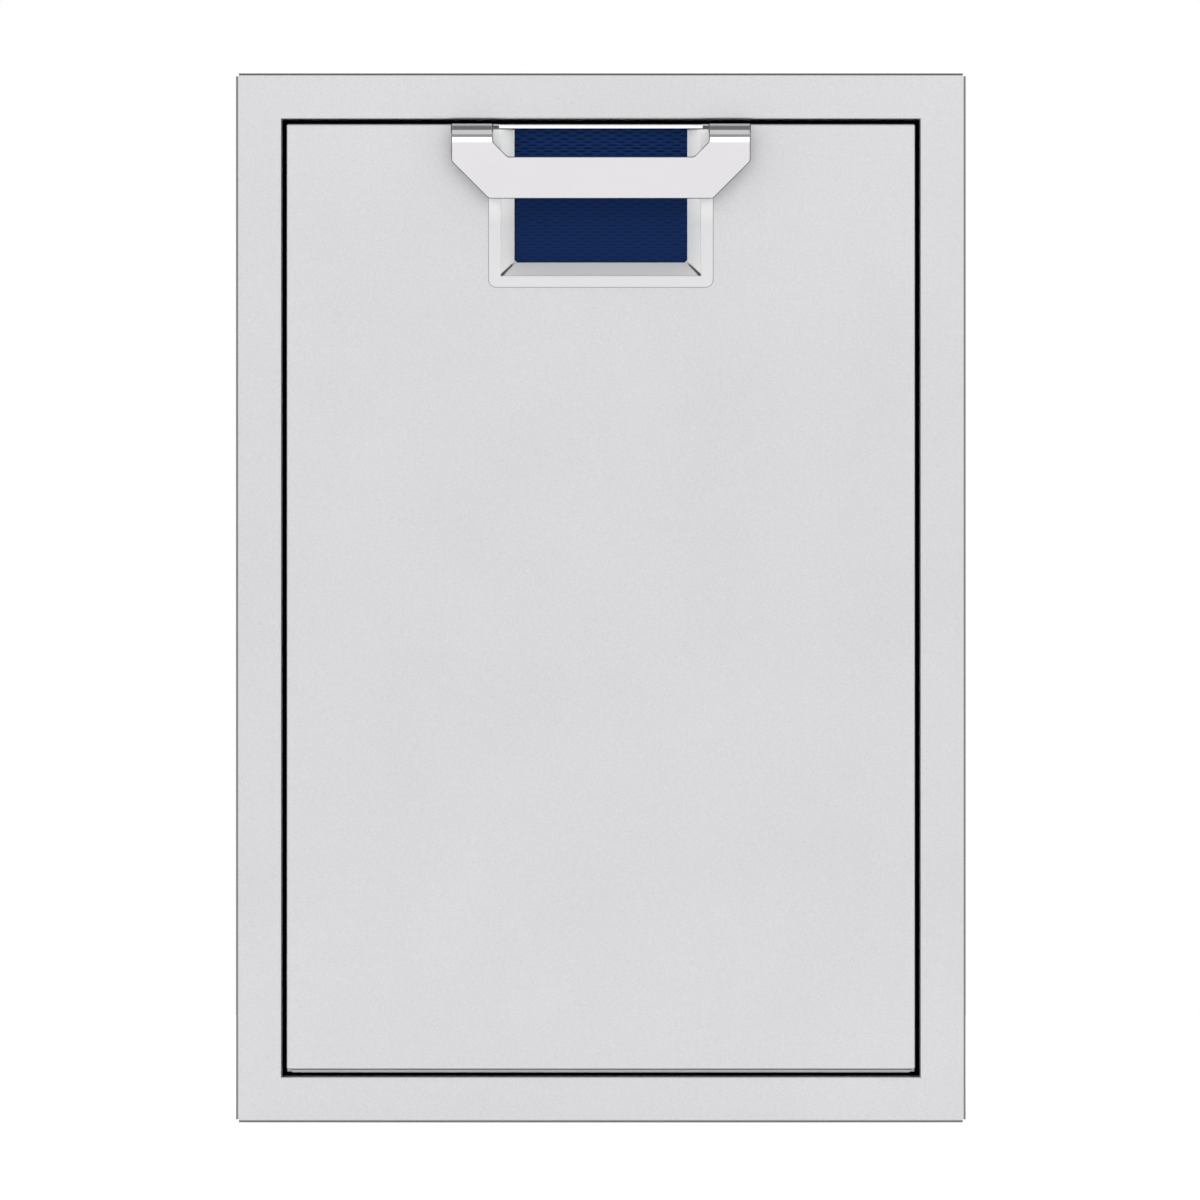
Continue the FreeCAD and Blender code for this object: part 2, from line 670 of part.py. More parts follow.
def rail_bumpers():
    """Soft blocks on the outer rails' webs that stop the middle rails at the back."""
    members = []
    for side in (LEFT, RIGHT):
        body = new_body(f"{SIDE_NAMES[side]}_rail_bumper")
        face = box_corners(f"({SLIDE_BACK} - rail_stop + running_gap)", f"({SLIDE_BACK} - running_gap)",
                           f"({SLIDE_LEVEL} - bumper_height / 2)", f"({SLIDE_LEVEL} + bumper_height / 2)")
        pad(body, "block", "YZ", across(side, "rail_sheet"), [face], "bumper_thick", -side)
        members.append(body)
    return group("rail_bumpers", members)


def outer_rail_screws():
    """Driven from outside the housing into the outer rails' webs."""
    members = []
    for side in (LEFT, RIGHT):
        seat = mirrored(side, f"{INNER_HALF} + housing_sheet")
        for index, y in enumerate(rail_places()):
            members.append(fastener(f"{SIDE_NAMES[side]}_outer_screw_{index}", (seat, y, SLIDE_LEVEL),
                                    "+X" if side == RIGHT else "-X", "rail_screw", 6))
    return group("outer_rail_screws", members)


def inner_rail_screws():
    """Driven from inside the tray into the inner rails' webs."""
    members = []
    for side in (LEFT, RIGHT):
        for index, y in enumerate(rail_places()):
            members.append(fastener(f"{SIDE_NAMES[side]}_inner_screw_{index}",
                                    (mirrored(side, TRAY_INSIDE), y, SLIDE_LEVEL),
                                    "-X" if side == RIGHT else "+X", "rail_screw", 6))
    return group("inner_rail_screws", members)


# Drawer front


def front_skin():
    """Folded front: face, returns, bevelled drip edge, pocket window, rolled pocket rim and handle notches."""
    body = new_body("front_skin")
    section = [(FACE, f"({FRONT_LOW} + drip_edge)"), (FACE, FRONT_TOP), (SKIN_BACK, FRONT_TOP),
               (SKIN_BACK, FRONT_LOW), (f"({FACE} + drip_edge)", FRONT_LOW)]
    pad(body, "block", "YZ", f"-{FRONT_HALF}", [section], f"2 * {FRONT_HALF}", 1)

    def is_bend(edge):
        sides = runs_at(edge, y=FACE, x=FRONT_HALF) or runs_at(edge, y=FACE, x=f"-{FRONT_HALF}")
        top_ends = runs_at(edge, z=FRONT_TOP, x=FRONT_HALF) or runs_at(edge, z=FRONT_TOP, x=f"-{FRONT_HALF}")
        return sides or top_ends or runs_at(edge, y=FACE, z=FRONT_TOP)
    fillet(body, "bends", "front_bend", is_bend)
    skew = "(front_sheet * (sqrt(2) - 1))"
    inside = f"({FACE} + front_sheet)"
    hollow = [(inside, f"({FRONT_LOW} + drip_edge + {skew})"), (inside, f"({FRONT_TOP} - front_sheet)"),
              (SKIN_BACK, f"({FRONT_TOP} - front_sheet)"), (SKIN_BACK, f"({FRONT_LOW} + front_sheet)"),
              (f"({FACE} + drip_edge + {skew})", f"({FRONT_LOW} + front_sheet)")]
    inner_half = f"({FRONT_HALF} - front_sheet)"
    cut(body, "hollow", "YZ", inner_half, [hollow], f"2 * {inner_half}", -1)
    notches = []
    for side in (LEFT, RIGHT):
        drip_top = f"({FRONT_LOW} + drip_edge + drip_relief)"
        notches.append([(mirrored(side, f"{FRONT_HALF} + drip_inset"), drip_top),
                        (mirrored(side, f"{FRONT_HALF} - drip_inset + drip_edge"), drip_top),
                        (mirrored(side, f"{FRONT_HALF} - drip_inset"), FRONT_LOW),
                        (mirrored(side, f"{FRONT_HALF} + drip_inset"), FRONT_LOW)])
    cut(body, "corner_notches", "XZ", FACE, notches, "front_thickness", 1)
    window = ring_corners("(pocket_half + window_clear)", f"({WINDOW_LOW} - window_clear)",
                          f"({FRONT_TOP} - front_sheet)")
    cut(body, "window", "XZ", FACE, [window], "front_sheet", 1)
    gate = ring_corners("(rim_half + rim_notch)", f"({FRONT_TOP} - rim_height - window_clear)", FRONT_TOP)
    cut(body, "rim_gate", "XZ", FACE, [gate], "rim_notch_deep", 1)
    rim_back = f"({FACE} + rim_notch_deep + front_sheet)"
    rim_under = f"({FRONT_TOP} - front_sheet)"
    rim_foot = f"({FRONT_TOP} - rim_height)"
    rim = [(FACE, rim_foot), (FACE, FRONT_TOP, "rim_bend"), (rim_back, FRONT_TOP), (rim_back, rim_under),
           (inside, rim_under, "(rim_bend - front_sheet)"), (inside, rim_foot)]
    pad(body, "pocket_rim", "YZ", "-rim_half", [rim], "2 * rim_half", 1)
    passages = []
    for side in (LEFT, RIGHT):
        passages.append(box_corners(mirrored(side, "rim_half + rim_notch"),
                                    mirrored(side, "handle_half + handle_clear"),
                                    f"({FOOT_TOP} - handle_plate - handle_clear)", FRONT_TOP))
    cut(body, "handle_notches", "XZ", FACE, passages, f"{NOTCH_BACK} - {FACE}", 1)
    return body


def front_liner():
    """Inner pan of the front, flanged inside the skin's sides and bottom."""
    body = new_body("front_liner")
    plate = ring_corners(f"({FRONT_HALF} - running_gap)", f"({FRONT_LOW} + running_gap)",
                         f"({FRONT_TOP} - running_gap)")
    pad(body, "plate", "XZ", SKIN_BACK, [plate], "liner_sheet", 1)
    wide = f"({FRONT_HALF} - front_sheet)"
    narrow = f"({wide} - liner_sheet)"
    top = f"({FRONT_TOP} - front_sheet - running_gap)"
    low = f"({FRONT_LOW} + front_sheet)"
    inner_low = f"({low} + liner_sheet)"
    flange = [(f"-{wide}", top), (f"-{wide}", low), (wide, low), (wide, top), (narrow, top),
              (narrow, inner_low), (f"-{narrow}", inner_low), (f"-{narrow}", top)]
    pad(body, "flange", "XZ", SKIN_BACK, [flange], "liner_flange", -1)
    return body


def pocket_bezel():
    """Thin overlay round the pocket: a flat border and three flaps folded in, open at the mitres."""
    body = new_body("pocket_bezel")
    outer = "(pocket_half + bezel_face)"
    top = f"({FRONT_TOP} - rim_height - window_clear)"
    shoulder = f"({FOOT_TOP} - handle_plate - handle_clear)"
    neck = f"({LEG_IN} - handle_clear)"
    low = f"({WINDOW_LOW} - bezel_foot)"
    right_half = [(outer, low, "bezel_corner"), (outer, shoulder), (neck, shoulder), (neck, top),
                  ("pocket_half", top), ("pocket_half", WINDOW_LOW)]
    left_half = [(f"-{x}", z, *rounding) for x, z, *rounding in reversed(right_half)]
    pad(body, "border", "XZ", FACE, [right_half + left_half], "bezel_sheet", -1)
    floor_half = "(pocket_half - bevel_run)"
    root = (BEZEL_FRONT, f"({BEZEL_FRONT} + {FLAP_SKEW})")
    tip = (f"({BEZEL_FRONT} + bevel_run)", ACCENT_FRONT)
    low_flap = [(WINDOW_LOW, box_corners("-(pocket_half - mitre_gap)", "(pocket_half - mitre_gap)", *root)),
                (f"({WINDOW_LOW} + bevel_run)",
                 box_corners(f"-({floor_half} - mitre_gap_deep)", f"({floor_half} - mitre_gap_deep)", *tip))]
    loft(body, "low_flap", "XY", low_flap)
    for side in (LEFT, RIGHT):
        side_flap = [(mirrored(side, "pocket_half"), box_corners(*root, f"({WINDOW_LOW} + mitre_gap)", top)),
                     (mirrored(side, floor_half),
                      box_corners(*tip, f"({WINDOW_LOW} + bevel_run + mitre_gap_deep)", top))]
        loft(body, f"{SIDE_NAMES[side]}_flap", "YZ", side_flap)
    return body


def accent_panel():
    """Coated sheet, its lower corners cut off behind the mitres."""
    body = new_body("accent_panel")
    short_half = f"({ACCENT_HALF} - accent_corner)"
    corner_top = f"({ACCENT_LOW} + accent_corner)"
    plate = [(f"-{short_half}", ACCENT_LOW), (short_half, ACCENT_LOW), (ACCENT_HALF, corner_top),
             (ACCENT_HALF, ACCENT_TOP), (f"-{ACCENT_HALF}", ACCENT_TOP), (f"-{ACCENT_HALF}", corner_top)]
    pad(body, "plate", "XZ", ACCENT_FRONT, [plate], "accent_sheet", 1)
    return body


def accent_backing():
    """Shallow pan from the liner to the accent sheet's back."""
    body = new_body("accent_backing")
    depth = f"({SKIN_BACK} - {ACCENT_BACK})"
    pad(body, "block", "XZ", ACCENT_BACK, [ring_corners(ACCENT_HALF, ACCENT_LOW, ACCENT_TOP)], depth, 1)
    hollow = ring_corners(f"({ACCENT_HALF} - backing_sheet)", f"({ACCENT_LOW} + backing_sheet)",
                          f"({ACCENT_TOP} - backing_sheet)")
    cut(body, "hollow", "XZ", SKIN_BACK, [hollow], f"{depth} - backing_sheet", -1)
    return body


def handle():
    """One bent plate: chamfered band, two legs curling back over feet, and heels bolted inside the front."""
    body = new_body("handle")
    chamfer_top = f"({BAND_LOW} + handle_chamfer)"
    inner_chamfer = f"({BEND_LOW} - {BAND_TOP})"
    band_in = f"({LEG_IN} - {inner_chamfer})"
    band_out = "(handle_half - handle_chamfer)"
    right_half = [(band_out, BAND_LOW, "handle_round"), ("handle_half", chamfer_top, "handle_round"),
                  ("handle_half", BEND_LOW), (LEG_IN, BEND_LOW), (band_in, BAND_TOP, "handle_round")]
    left_half = [(f"-{x}", z, *rounding) for x, z, *rounding in reversed(right_half)]
    pad(body, "band", "XZ", HANDLE_FRONT, [right_half + left_half], "handle_plate", 1)
    inner_front = f"({HANDLE_FRONT} + handle_plate)"
    inner_heel = f"({HEEL_BACK} - handle_plate)"
    under_foot = f"({FOOT_TOP} - handle_plate)"
    leg_low = f"({BEND_LOW} - handle_round)"
    bend = [(HANDLE_FRONT, leg_low), (HANDLE_FRONT, FOOT_TOP, "handle_bend"),
            (HEEL_BACK, FOOT_TOP, "heel_bend"), (HEEL_BACK, HEEL_LOW), (inner_heel, HEEL_LOW),
            (inner_heel, under_foot, "(heel_bend - handle_plate)"),
            (inner_front, under_foot, "(handle_bend - handle_plate)"), (inner_front, leg_low)]
    for side in (LEFT, RIGHT):
        pad(body, f"{SIDE_NAMES[side]}_leg", "YZ", mirrored(side, LEG_IN), [bend], "handle_leg", side)

    def is_front(edge):
        return runs_at(edge, y=HANDLE_FRONT) and not runs_at(edge, z=BEND_LOW)
    chamfer(body, "front_edges", "handle_edge", is_front)
    return body


def handle_screw_places():
    middle = "(handle_half - handle_leg / 2)"
    level = f"({FOOT_TOP} - handle_screw_drop)"
    return [(mirrored(side, f"{middle} + {step} * handle_screw_pitch / 2"), level)
            for side in (LEFT, RIGHT) for step in (-1, 1)]


def handle_backing_plates():
    members = []
    for side in (LEFT, RIGHT):
        body = new_body(f"{SIDE_NAMES[side]}_backing_plate")
        face = box_corners(mirrored(side, LEG_IN), mirrored(side, "handle_half"), HEEL_LOW,
                           f"({FOOT_TOP} - heel_bend)")
        pad(body, "plate", "XZ", HEEL_BACK, [face], "heel_plate", 1)
        members.append(body)
    return group("handle_backing_plates", members)


def handle_screws():
    members = [fastener(f"handle_screw_{index}", (x, FRONT_BACK, z), "+Y", "handle_screw", 6)
               for index, (x, z) in enumerate(handle_screw_places())]
    return group("handle_screws", members)


# Carriage


def carriage_tray():
    """Folded tray that hangs between the slides and carries the bins."""
    body = new_body("carriage_tray")
    plan = box_corners(f"-{TRAY_HALF}", TRAY_HALF, FRONT_BACK, SLIDE_BACK)
    pad(body, "block", "XY", TRAY_LOW, [plan], "tray_height", 1)
    fillet(body, "bends", "tray_bend", lambda edge: runs_at(edge, z=TRAY_LOW))
    inside = box_corners(f"-{TRAY_INSIDE}", TRAY_INSIDE, TRAY_FRONT, f"({SLIDE_BACK} - tray_sheet)")
    cut(body, "hollow", "XY", TRAY_TOP, [inside], "tray_height - tray_sheet", -1)
    return body


def bracket_tray_places():
    level = f"({TRAY_TOP} - bracket_overlap / 2)"
    return [(f"({TRAY_FRONT} + bracket_overlap / 2)", level),
            (f"({TRAY_FRONT} + bracket_reach - bracket_overlap / 2)", level)]


def bracket_rivet_places():
    """Rivets of the brackets' flanges, seen from the front."""
    return [(mirrored(side, f"{TRAY_INSIDE} - bracket_flange * 0.6"),
             f"({TRAY_TOP} + bracket_rise * {share} / 4)") for side in (LEFT, RIGHT) for share in (1, 2, 3)]


def tray_rivet_places():
    """Rivets of the tray's front wall, seen from the front."""
    return [(f"({TRAY_HALF} * {share} / 4)", f"({TRAY_LOW} + tray_height * {up} / 4)")
            for share in (-3, -1, 1, 3) for up in (1, 3)]


def front_bracket(side):
    """Gusset that holds the tall front square on the tray."""
    body = new_body(f"{SIDE_NAMES[side]}_front_bracket")
    step = f"({TRAY_TOP} + running_gap)"
    plate = [(TRAY_FRONT, BRACKET_LOW), (f"({TRAY_FRONT} + bracket_reach)", BRACKET_LOW),
             (f"({TRAY_FRONT} + bracket_reach)", TRAY_TOP), (f"({TRAY_FRONT} + bracket_top)", BRACKET_TOP),
             (FRONT_BACK, BRACKET_TOP), (FRONT_BACK, step), (TRAY_FRONT, step)]
    pad(body, "plate", "YZ", mirrored(side, TRAY_INSIDE), [plate], "bracket_sheet", -side)
    flange = box_corners(mirrored(side, f"{TRAY_INSIDE} - bracket_flange"), mirrored(side, TRAY_INSIDE),
                         step, BRACKET_TOP)
    pad(body, "flange", "XZ", FRONT_BACK, [flange], "bracket_sheet", 1)
    return body


def carriage_rivets():
    """Rivets that join the tray, the brackets and the front."""
    members = []
    for index, (x, z) in enumerate(bracket_rivet_places()):
        seat = (x, f"({FRONT_BACK} + bracket_sheet)", z)
        members.append(fastener(f"bracket_rivet_{index}", seat, "+Y", "rivet", 8))
    for index, (x, z) in enumerate(tray_rivet_places()):
        members.append(fastener(f"tray_rivet_{index}", (x, TRAY_FRONT, z), "+Y", "rivet", 8))
    for side in (LEFT, RIGHT):
        for index, (y, z) in enumerate(bracket_tray_places()):
            seat = (mirrored(side, BRACKET_INSIDE), y, z)
            members.append(fastener(f"{SIDE_NAMES[side]}_wall_rivet_{index}", seat,
                                    "-X" if side == RIGHT else "+X", "rivet", 8))
    return group("carriage_rivets", members)


def bin_divider():
    """Inverted channel across the tray, between the two bins."""
    body = new_body("bin_divider")
    middle = f"({BIN_FRONT} + {BIN_DEPTH} + bin_gap / 2)"
    front, back = f"({middle} - divider_width / 2)", f"({middle} + divider_width / 2)"
    top = f"({TRAY_FLOOR} + divider_height)"
    section = [(front, TRAY_FLOOR), (front, top, "tray_bend"), (back, top, "tray_bend"), (back, TRAY_FLOOR),
               (f"({back} - tray_sheet)", TRAY_FLOOR), (f"({back} - tray_sheet)", f"({top} - tray_sheet)"),
               (f"({front} + tray_sheet)", f"({top} - tray_sheet)"), (f"({front} + tray_sheet)", TRAY_FLOOR)]
    half = f"({TRAY_INSIDE} - rail_screw)"
    pad(body, "channel", "YZ", f"-{half}", [section], f"2 * {half}", 1)
    return body


def bin_stops():
    """Angles on the tray's floor in front of the front bin and behind the rear one."""
    members = []
    ends = {"front": (f"({BIN_FRONT} + bin_taper - stop_room)", -1),
            "rear": (f"({BIN_LIMIT} - bin_taper + stop_room)", 1)}
    half = f"({TRAY_INSIDE} - rail_screw)"
    for name, (face, away) in ends.items():
        body = new_body(f"{name}_bin_stop")
        thin = f"({face} + {away} * tray_sheet)"
        toe = f"({face} + {away} * stop_height / 2)"
        top = f"({TRAY_FLOOR} + stop_height)"
        section = [(face, TRAY_FLOOR), (face, top), (thin, top), (thin, f"({TRAY_FLOOR} + tray_sheet)"),
                   (toe, f"({TRAY_FLOOR} + tray_sheet)"), (toe, TRAY_FLOOR)]
        pad(body, "angle", "YZ", f"-{half}", [section], f"2 * {half}", 1)
        members.append(body)
    return group("bin_stops", members)


# Bins


def waste_bin(label, front):
    """Tapered tub with rounded corners and a turned-down rim, standing on the tray."""
    body = new_body(label)
    back = f"({front} + {BIN_DEPTH})"
    top = f"({TRAY_FLOOR} + bin_height)"

    def plan(inset, corner):
        return box_corners(f"-({BIN_HALF} - {inset})", f"({BIN_HALF} - {inset})", f"({front} + {inset})",
                           f"({back} - {inset})", corner)
    mouth = "bin_rim"
    foot = "(bin_rim + bin_taper)"
    loft(body, "tub", "XY", [(TRAY_FLOOR, plan(foot, "bin_corner")), (top, plan(mouth, "bin_corner"))])
    inner_foot = f"({foot} + bin_wall)"
    inner_mouth = f"({mouth} + bin_wall)"
    loft(body, "inside", "XY",
             [(f"({TRAY_FLOOR} + bin_wall)", plan(inner_foot, "(bin_corner - bin_wall)")),
              (top, plan(inner_mouth, "(bin_corner - bin_wall)"))], "PartDesign::SubtractiveLoft")
    outer_edge = plan("0", "(bin_corner + bin_rim)")
    pad(body, "rim", "XY", top, [outer_edge, plan(inner_mouth, "(bin_corner - bin_wall)")], "bin_wall", -1)
    pad(body, "rim_lip", "XY", top, [outer_edge, plan("bin_wall", "(bin_corner + bin_rim - bin_wall)")],
        "bin_rim_lip", -1)
    return body


def build():
    pieces = [face_frame(), frame_gasket(), base_panel(), back_panel(), housing_rivets()]
    for side in (LEFT, RIGHT):
        pieces.append(side_panel(side))
        pieces.extend(slide(side))
        pieces.append(front_bracket(side))
    pieces += [rail_bumpers(), outer_rail_screws(), inner_rail_screws(), front_skin(), front_liner(),
               pocket_bezel(), accent_panel(), accent_backing(), handle(), handle_backing_plates(),
               handle_screws(), carriage_tray(), carriage_rivets(), bin_divider(), bin_stops(),
               waste_bin("front_bin", BIN_FRONT),
               waste_bin("rear_bin", f"({BIN_FRONT} + {BIN_DEPTH} + bin_gap)")]
    return pieces


pieces = build()
doc.recompute()
failed = [item.Name for item in doc.Objects if "Invalid" in item.State or "Error" in item.State]
if failed:
    raise RuntimeError(f"failed objects: {failed}")
for piece in pieces:
    if piece.Shape.isNull() or not piece.Shape.isValid():
        raise RuntimeError(f"{piece.Label} has no valid shape")
os.makedirs("parts", exist_ok=True)
for piece in pieces:
    piece.Shape.exportStep(f"parts/{piece.Label}.step")
print(f"{len(pieces)} parts, {sum(len(piece.Shape.Solids) for piece in pieces)} solids")
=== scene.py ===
"""Looks of the built-in pull-out trash drawer: its steel, paint, rubber and plastic, and its small hardware.

Lengths are in metres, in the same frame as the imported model: X right, Y into the counter, Z up.
"""
import json
import math

import bmesh
import bpy
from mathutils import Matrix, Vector


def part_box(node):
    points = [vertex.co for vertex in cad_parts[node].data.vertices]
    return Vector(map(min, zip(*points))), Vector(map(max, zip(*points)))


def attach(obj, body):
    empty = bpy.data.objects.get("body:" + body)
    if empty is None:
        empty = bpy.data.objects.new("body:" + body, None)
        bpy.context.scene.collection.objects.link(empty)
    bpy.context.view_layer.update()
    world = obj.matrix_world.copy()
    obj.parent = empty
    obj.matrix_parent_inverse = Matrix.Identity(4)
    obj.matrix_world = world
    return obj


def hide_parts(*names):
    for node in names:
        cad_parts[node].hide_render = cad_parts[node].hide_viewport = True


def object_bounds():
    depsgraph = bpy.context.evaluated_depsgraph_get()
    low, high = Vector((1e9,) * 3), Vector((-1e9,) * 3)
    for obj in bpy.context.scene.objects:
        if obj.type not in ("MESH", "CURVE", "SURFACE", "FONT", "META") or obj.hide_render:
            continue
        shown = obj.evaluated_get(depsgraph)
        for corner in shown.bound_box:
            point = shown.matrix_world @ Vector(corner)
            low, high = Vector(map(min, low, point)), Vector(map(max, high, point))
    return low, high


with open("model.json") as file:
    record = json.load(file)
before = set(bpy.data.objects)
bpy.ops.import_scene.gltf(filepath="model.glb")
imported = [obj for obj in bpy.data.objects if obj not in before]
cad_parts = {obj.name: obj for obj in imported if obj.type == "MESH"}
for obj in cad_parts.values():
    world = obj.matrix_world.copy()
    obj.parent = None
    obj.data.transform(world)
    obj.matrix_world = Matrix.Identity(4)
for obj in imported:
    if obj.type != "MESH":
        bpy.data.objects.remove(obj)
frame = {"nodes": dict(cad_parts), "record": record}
cad_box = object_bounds()
NODES = frame["nodes"]
RECORD = frame["record"]
SLOT_OF = {row["node"]: row["material_slot"] for row in RECORD["subparts"]}
BODY_OF = {node: body for body, nodes in RECORD["behaviour"]["bodies"].items() for node in nodes}
MM = 0.001

# Handle: outer radius of its front bend, rounding of its edges
HANDLE_BEND = 12.7 * MM
HANDLE_EASE = 0.6 * MM

# Dashes of the navy sheet: rows one under another, every second row shifted by half a period
DASH_PERIOD = 11.15 * MM
DASH_PITCH = 2.16 * MM
DASH_HALF_LONG = 3.8 * MM
DASH_HALF_TALL = 0.5 * MM
DASH_SHIFT = 14.3 * MM
DASH_DROP = 13.1 * MM
# Where a dash starts and where it is deepest, as the square of the way from its middle
DASH_RIM = 1.5
DASH_BED = 0.3
# The dashes are half as deep below the first of these drops from the sheet's top, and full above the second
DASH_HALF_DROP = 60 * MM
DASH_FULL_DROP = 25 * MM


class Wire:
    """A socket that takes part in Python arithmetic; each operation adds a Math node."""

    def __init__(self, tree, socket):
        self.tree = tree
        self.socket = socket

    def node(self, kind, settings=None, **inputs):
        """Any node: its type, its settings, then its sockets by name or number (i0, i1...)."""
        made = self.tree.nodes.new(kind)
        for name, value in (settings or {}).items():
            if name == "stops":
                set_stops(made.color_ramp, value)
            else:
                setattr(made, name, value)
        for name, value in inputs.items():
            key = int(name[1:]) if name[1:].isdigit() else name.replace("_", " ")
            socket = made.inputs[key]
            if isinstance(value, Wire):
                self.tree.links.new(value.socket, socket)
            else:
                socket.default_value = value
        return made

    def out(self, kind, settings=None, output=0, **inputs):
        """One output of a new node."""
        return Wire(self.tree, self.node(kind, settings, **inputs).outputs[output])

    def math(self, operation, *values):
        inputs = {f"i{index}": value for index, value in enumerate(values)}
        return self.out("ShaderNodeMath", {"operation": operation}, **inputs)

    def __add__(self, other):
        return self.math("ADD", self, other)

    __radd__ = __add__

    def __sub__(self, other):
        return self.math("SUBTRACT", self, other)

    def __rsub__(self, other):
        return self.math("SUBTRACT", other, self)

    def __mul__(self, other):
        return self.math("MULTIPLY", self, other)

    __rmul__ = __mul__

    def __truediv__(self, other):
        return self.math("DIVIDE", self, other)

    def __rtruediv__(self, other):
        return self.math("DIVIDE", other, self)

    def __mod__(self, other):
        return self.math("FLOORED_MODULO", self, other)

    def size(self):
        return self.math("ABSOLUTE", self)

    def most(self, other):
        return self.math("MAXIMUM", self, other)

    def least(self, other):
        return self.math("MINIMUM", self, other)

    def smooth(self, low, high):
        """0 at low, 1 at high, eased between; low may be the greater."""
        return self.out("ShaderNodeMapRange", {"interpolation_type": "SMOOTHSTEP"}, i0=self, i1=low, i2=high)


def set_stops(ramp, stops):
    """A ramp's stops, as (place, colour)."""
    while len(ramp.elements) < len(stops):
        ramp.elements.new(0.5)
    for element, (place, colour) in zip(ramp.elements, stops):
        element.position = place
        element.color = colour


class Finish:
    """A material under construction: its Principled shader and the piece's own coordinates."""

    def __init__(self, name, **constants):
        self.material = bpy.data.materials.new(name)
        self.material.use_nodes = True
        tree = self.material.node_tree
        self.shader = tree.nodes["Principled BSDF"]
        for socket, value in constants.items():
            self.shader.inputs[socket.replace("_", " ")].default_value = value
        places = tree.nodes.new("ShaderNodeTexCoord")
        self.place = Wire(tree, places.outputs["Object"])
        parts = self.place.node("ShaderNodeSeparateXYZ", i0=self.place)
        self.x, self.y, self.z = (Wire(tree, socket) for socket in parts.outputs)

    def noise(self, scale, detail=3.0, stretch=(1.0, 1.0, 1.0)):
        """Noise from 0 to 1, its grain drawn out along an axis by a smaller stretch."""
        spread = self.place.out("ShaderNodeMapping", i0=self.place, Scale=stretch)
        return self.place.out("ShaderNodeTexNoise", i0=spread, Scale=scale, Detail=detail)

    def mix(self, factor, first, second):
        """Between two colours."""
        return self.place.out("ShaderNodeMix", {"data_type": "RGBA"}, 2, i0=factor, i6=first, i7=second)

    def wire(self, socket, value):
        self.material.node_tree.links.new(value.socket, self.shader.inputs[socket])

    def bump(self, height, distance, strength):
        """Relief in metres under the normal."""
        normal = self.place.out("ShaderNodeBump", Height=height, Distance=distance, Strength=strength)
        self.wire("Normal", normal)


def grey(value, blue=0.0):
    """A neutral colour, with a share more blue."""
    return (value, value, value * (1 + blue), 1.0)


def panel_steel():
    """Fine bead-blasted stainless: an even pale grey, a close grain without direction, painted dark shade
    along its bent edges and round the pocket, painted highlights on the rim and drip edge.
    """
    finish = Finish("panel_steel", Metallic=1.0)
    x, y, z = finish.x.size(), finish.y, finish.z
    grain = finish.noise(1000, 2.0)
    cloud = finish.noise(9, 2.0)
    soft = 0.1 * MM

    # Painted highlights: the rim over the pocket and the drip edge of the front's folded bottom are painted
    # bright
    skin_low, skin_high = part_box("front_skin")
    rim_half, rim_low = 71.2 * MM, skin_high.z - 3.4 * MM
    rim = x.smooth(rim_half + soft, rim_half - soft) * z.smooth(rim_low - soft, rim_low + soft)
    rim = rim * z.smooth(skin_high.z + 2 * MM, skin_high.z + MM)
    fold_level = skin_low.z + 2.2 * MM
    on_front = x.smooth(skin_high.x + MM, skin_high.x)
    # Painted shade: a dark line along the fold of the front's bottom
    fold = (z - fold_level).size().smooth(0.75 * MM, 0.5 * MM) * on_front
    drip = z.smooth(fold_level, fold_level - soft) * z.smooth(skin_low.z - MM, skin_low.z) * on_front

    # Fine shadow round the pocket's border
    border_low, border_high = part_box("pocket_bezel")
    corner = 5.2 * MM
    past_side = (x - border_high.x + corner).most(0)
    past_low = (border_low.z + corner - z).most(0)
    around = past_side.math("SQRT", past_side * past_side + past_low * past_low) - corner
    seam_shadow = around.size().smooth(0.55 * MM, 0.2 * MM) * z.smooth(border_high.z, border_high.z - MM)

    # Painted shade: a dark line along the outer bend of the flange
    frame_low, frame_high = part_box("face_frame")
    inset = (frame_high.x - x).least((z - frame_low.z).least(frame_high.z - z))
    bend = inset.smooth(1.7 * MM, 1.2 * MM) * y.smooth(frame_low.y + 3 * MM, frame_low.y + 2 * MM)

    # Painted light: the base colour is lifted towards the top of the front, and a little towards its bottom
    rise = z - frame_high.z / 2
    painted_light_lift = rise * 0.14 + rise * rise * 0.7
    shade = finish.mix(grain * 0.75 + cloud * 0.25 + painted_light_lift, grey(0.437, 0.02), grey(0.632, 0.02))
    # Painted highlight: the rim and the drip edge in a pale grey
    shade = finish.mix(rim.most(drip), shade, grey(0.79))
    # Painted shade: dark lines along the flange's bend, the front's fold and round the pocket's border
    dark = bend.most(fold * 0.95).most(seam_shadow * 0.95)
    finish.wire("Base Color", finish.mix(dark, shade, grey(0.18, 0.02)))
    finish.wire("Roughness", 0.37 + grain * 0.1 + cloud * 0.04 - rim * 0.15)
    finish.bump(grain, 0.03 * MM, 0.5)
    return finish.material


